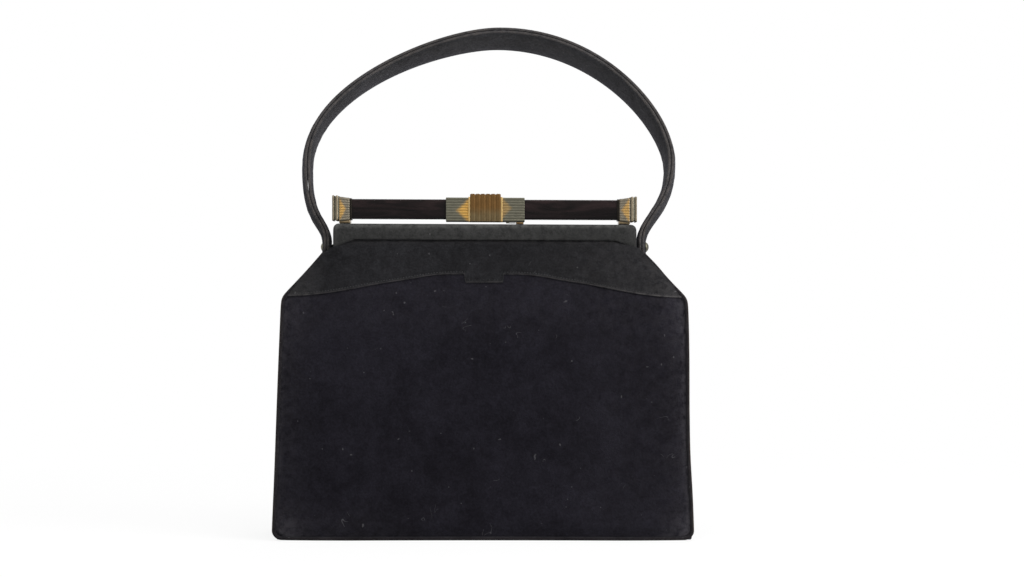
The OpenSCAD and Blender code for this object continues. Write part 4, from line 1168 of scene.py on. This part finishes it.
for name, inner in (("top", False), ("underside", True)):
    rings, rubbed = [], []
    for i, (here, outward, half_wide, half_thick, twist) in enumerate(strap_stations()):
        ring = []
        for across, out in strap_half(half_wide, half_thick):
            middle = ease((half_wide - 2.4 - abs(across)) / 2) if out > 0.5 else 0.0
            slack = 0.16 * ripple(i * 0.42, across / 9, 50 - 45 * inner, 1.0)
            slack += (0.04 + 0.07 * inner) * ripple(i * 1.2, across / 7, 9, 1.0)
            out += middle * slack
            flat = here + outward * ((-out if inner else out) + across * sin(twist))
            ring.append(leaned(flat.x, across, flat.y))
            rubbed.append(min(1.0, 0.5 * ease((abs(across) - half_wide + 1.0) / 0.8) + 0.1 * middle))
        rings.append(ring)
    strap = make_piece("strap_" + name, *tube(rings), strap_suede)
    mark_wear_and_light(strap, rubbed)
    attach(strap, "handle")
    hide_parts("handle_" + name)
    points, faces = [], []
    for hand in (-1, 1):
        line, ups = [], []
        for along in spaced(SEWN_START, BOW_LENGTH - SEWN_START, 320):
            here, outward, half_wide, half_thick, twist = strap_station(along)
            across = hand * (half_wide - SEWN_GROOVE)
            out = (PLY_LIFT + 2 * LIP_SHARE * half_thick - 0.16) * (-1 if inner else 1)
            flat = here + outward * (out + across * sin(twist))
            line.append(Vector(leaned(flat.x, across, flat.y)))
            up = Vector(leaned(outward.x, 0, outward.y)) - Vector((0, 0, PIVOT_Z))
            ups.append(-up if inner else up)
        join_on(points, faces, stitches(line, ups))
    sewing = make_piece("strap_stitching_" + name, points, faces, thread_black)
    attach(sewing, "handle")

# The handle's ends: stiff tabs sewn in between the strap's plies, each turning on a domed rivet in the frame.
# Only their edges show in the groove; the rivets are plated brass, bright on the dome.
TAB_DOWN, TAB_UP, TAB_INSET, TAB_THICK = 4.9, 10.0, 1.1, 1.0
DOME_ROUND, DOME_FOOT, DOME_RISE = 3.2, 3.0, 1.85
SHANK_ROUND, SHANK_END = 1.7, -7.9
LEFT_SUNK = 0.9
for hand, side in SIDES:
    rows = []
    for up in spaced(-TAB_DOWN, TAB_UP, 26):
        wide = end_half(up) - TAB_INSET
        rows.append([leaned(hand * END_X, across, up) for across in spaced(-wide, wide, 12)])
    tab = make_piece(side + "_tab_core", *cut_sheet(rows, TAB_THICK, (hand, 0, 0), 6), strap_suede)
    mark_wear_and_light(tab, lambda x, y, z: 0.0)
    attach(tab, "handle")
    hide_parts(side + "_handle_tab")
    angles = spaced(0, pi / 2, 6)
    profile = [(DOME_ROUND * sin(a), DOME_FOOT + DOME_RISE * cos(a) ** 1.5) for a in angles]
    profile[0] = (0.01, DOME_FOOT + DOME_RISE)
    profile += [(DOME_ROUND, 2.6), (SHANK_ROUND, 2.5), (SHANK_ROUND, SHANK_END), (0.01, SHANK_END)]
    turns = [tau * k / 32 for k in range(32)]
    dome = []
    for radius, proud in profile:
        x = hand * (END_X + proud - (LEFT_SUNK if hand < 0 and proud > 0 else 0.0))
        dome.append([(x, radius * cos(a), PIVOT_Z + radius * sin(a)) for a in turns])
    rivet = make_piece(side + "_rivet_dome", *tube(dome), pewter)
    mark_wear_and_light(rivet, lambda x, y, z: 0.95)
    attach(rivet, "back_frame")
    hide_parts(side + "_handle_rivet")

# The stand for the picture: a plain white floor that keeps the bag's shadow, large soft lamps and the camera.
# The camera looks straight at the front at half the bag's height.
floor_mesh = bpy.data.meshes.new("floor")
floor_mesh.from_pydata([(-8, -8, 0), (8, -8, 0), (8, 8, 0), (-8, 8, 0)], [], [(0, 1, 2, 3)])
floor = bpy.data.objects.new("floor", floor_mesh)
bpy.context.scene.collection.objects.link(floor)
white_floor = bpy.data.materials.new("white_floor")
white_floor.use_nodes = True
tree = white_floor.node_tree
tree.nodes.clear()


def seen_straight(tree):
    rays = tree.nodes.new("ShaderNodeLightPath").outputs
    seen = calc(tree, "MAXIMUM", rays["Is Camera Ray"], rays["Is Glossy Ray"])
    return calc(tree, "MAXIMUM", seen, rays["Is Transmission Ray"])


def show_both(tree, share, unseen, seen, output):
    """One shader for what lights the bag, another for what is seen straight."""
    both = put(tree, "ShaderNodeMixShader", Fac=share)
    plug(tree, both.inputs[1], unseen.outputs[0])
    plug(tree, both.inputs[2], seen.outputs[0])
    plug(tree, tree.nodes.new(output).inputs["Surface"], both.outputs[0])


WHITE = (1.0, 1.0, 1.0, 1.0)
paint = put(tree, "ShaderNodeBsdfDiffuse", Color=(0.86, 0.86, 0.86, 1.0))
glow = put(tree, "ShaderNodeEmission", Color=WHITE, Strength=1.0)
spot = tree.nodes.new("ShaderNodeTexCoord").outputs["Object"]
away = put(tree, "ShaderNodeVectorMath", Vector=spot)
away.operation = "LENGTH"
fade = calc(tree, "MULTIPLY_ADD", step(tree, away.outputs["Value"], 0.2, 0.75), 0.14, 0.86)
share = calc(tree, "MULTIPLY", seen_straight(tree), fade)
show_both(tree, share, paint, glow, "ShaderNodeOutputMaterial")
floor_mesh.materials.append(white_floor)

world = bpy.data.worlds.new("studio")
bpy.context.scene.world = world
world.use_nodes = True
tree = world.node_tree
tree.nodes.clear()
dim = put(tree, "ShaderNodeBackground", Color=WHITE, Strength=0.45)
clear = put(tree, "ShaderNodeBackground", Color=WHITE, Strength=1.0)
show_both(tree, seen_straight(tree), dim, clear, "ShaderNodeOutputWorld")


def soft_lamp(name, spot, aim, size, power):
    lamp = bpy.data.lights.new(name, "AREA")
    lamp.shape = "RECTANGLE"
    lamp.size, lamp.size_y = size
    lamp.energy = power
    stand = bpy.data.objects.new(name, lamp)
    stand.location = spot
    stand.rotation_euler = (Vector(aim) - Vector(spot)).to_track_quat("-Z", "Y").to_euler()
    bpy.context.scene.collection.objects.link(stand)


soft_lamp("lamp_over", (0.1, -0.75, 1.35), (0, 0, 0.12), (1.3, 0.9), 15.0)
soft_lamp("lamp_left", (-1.5, -0.9, 0.7), (0, 0, 0.15), (0.9, 1.1), 2.6)
soft_lamp("lamp_right", (0.95, -0.66, 0.52), (0.02, 0, 0.15), (0.7, 0.9), 11.0)
soft_lamp("lamp_behind", (0.4, 1.5, 1.1), (0, 0, 0.15), (1.2, 0.9), 12.0)

lens = bpy.data.cameras.new("front_view")
lens.sensor_fit = "HORIZONTAL"
lens.sensor_width = 36.0
lens.lens = 86.4
lens.shift_x = 0.0273
camera = bpy.data.objects.new("front_view", lens)
camera.location = (0.0, -1.5, 0.15025)
camera.rotation_euler = (pi / 2, 0.0, 0.0)
bpy.context.scene.collection.objects.link(camera)
bpy.context.scene.camera = camera
bpy.context.scene.view_settings.view_transform = "Standard"
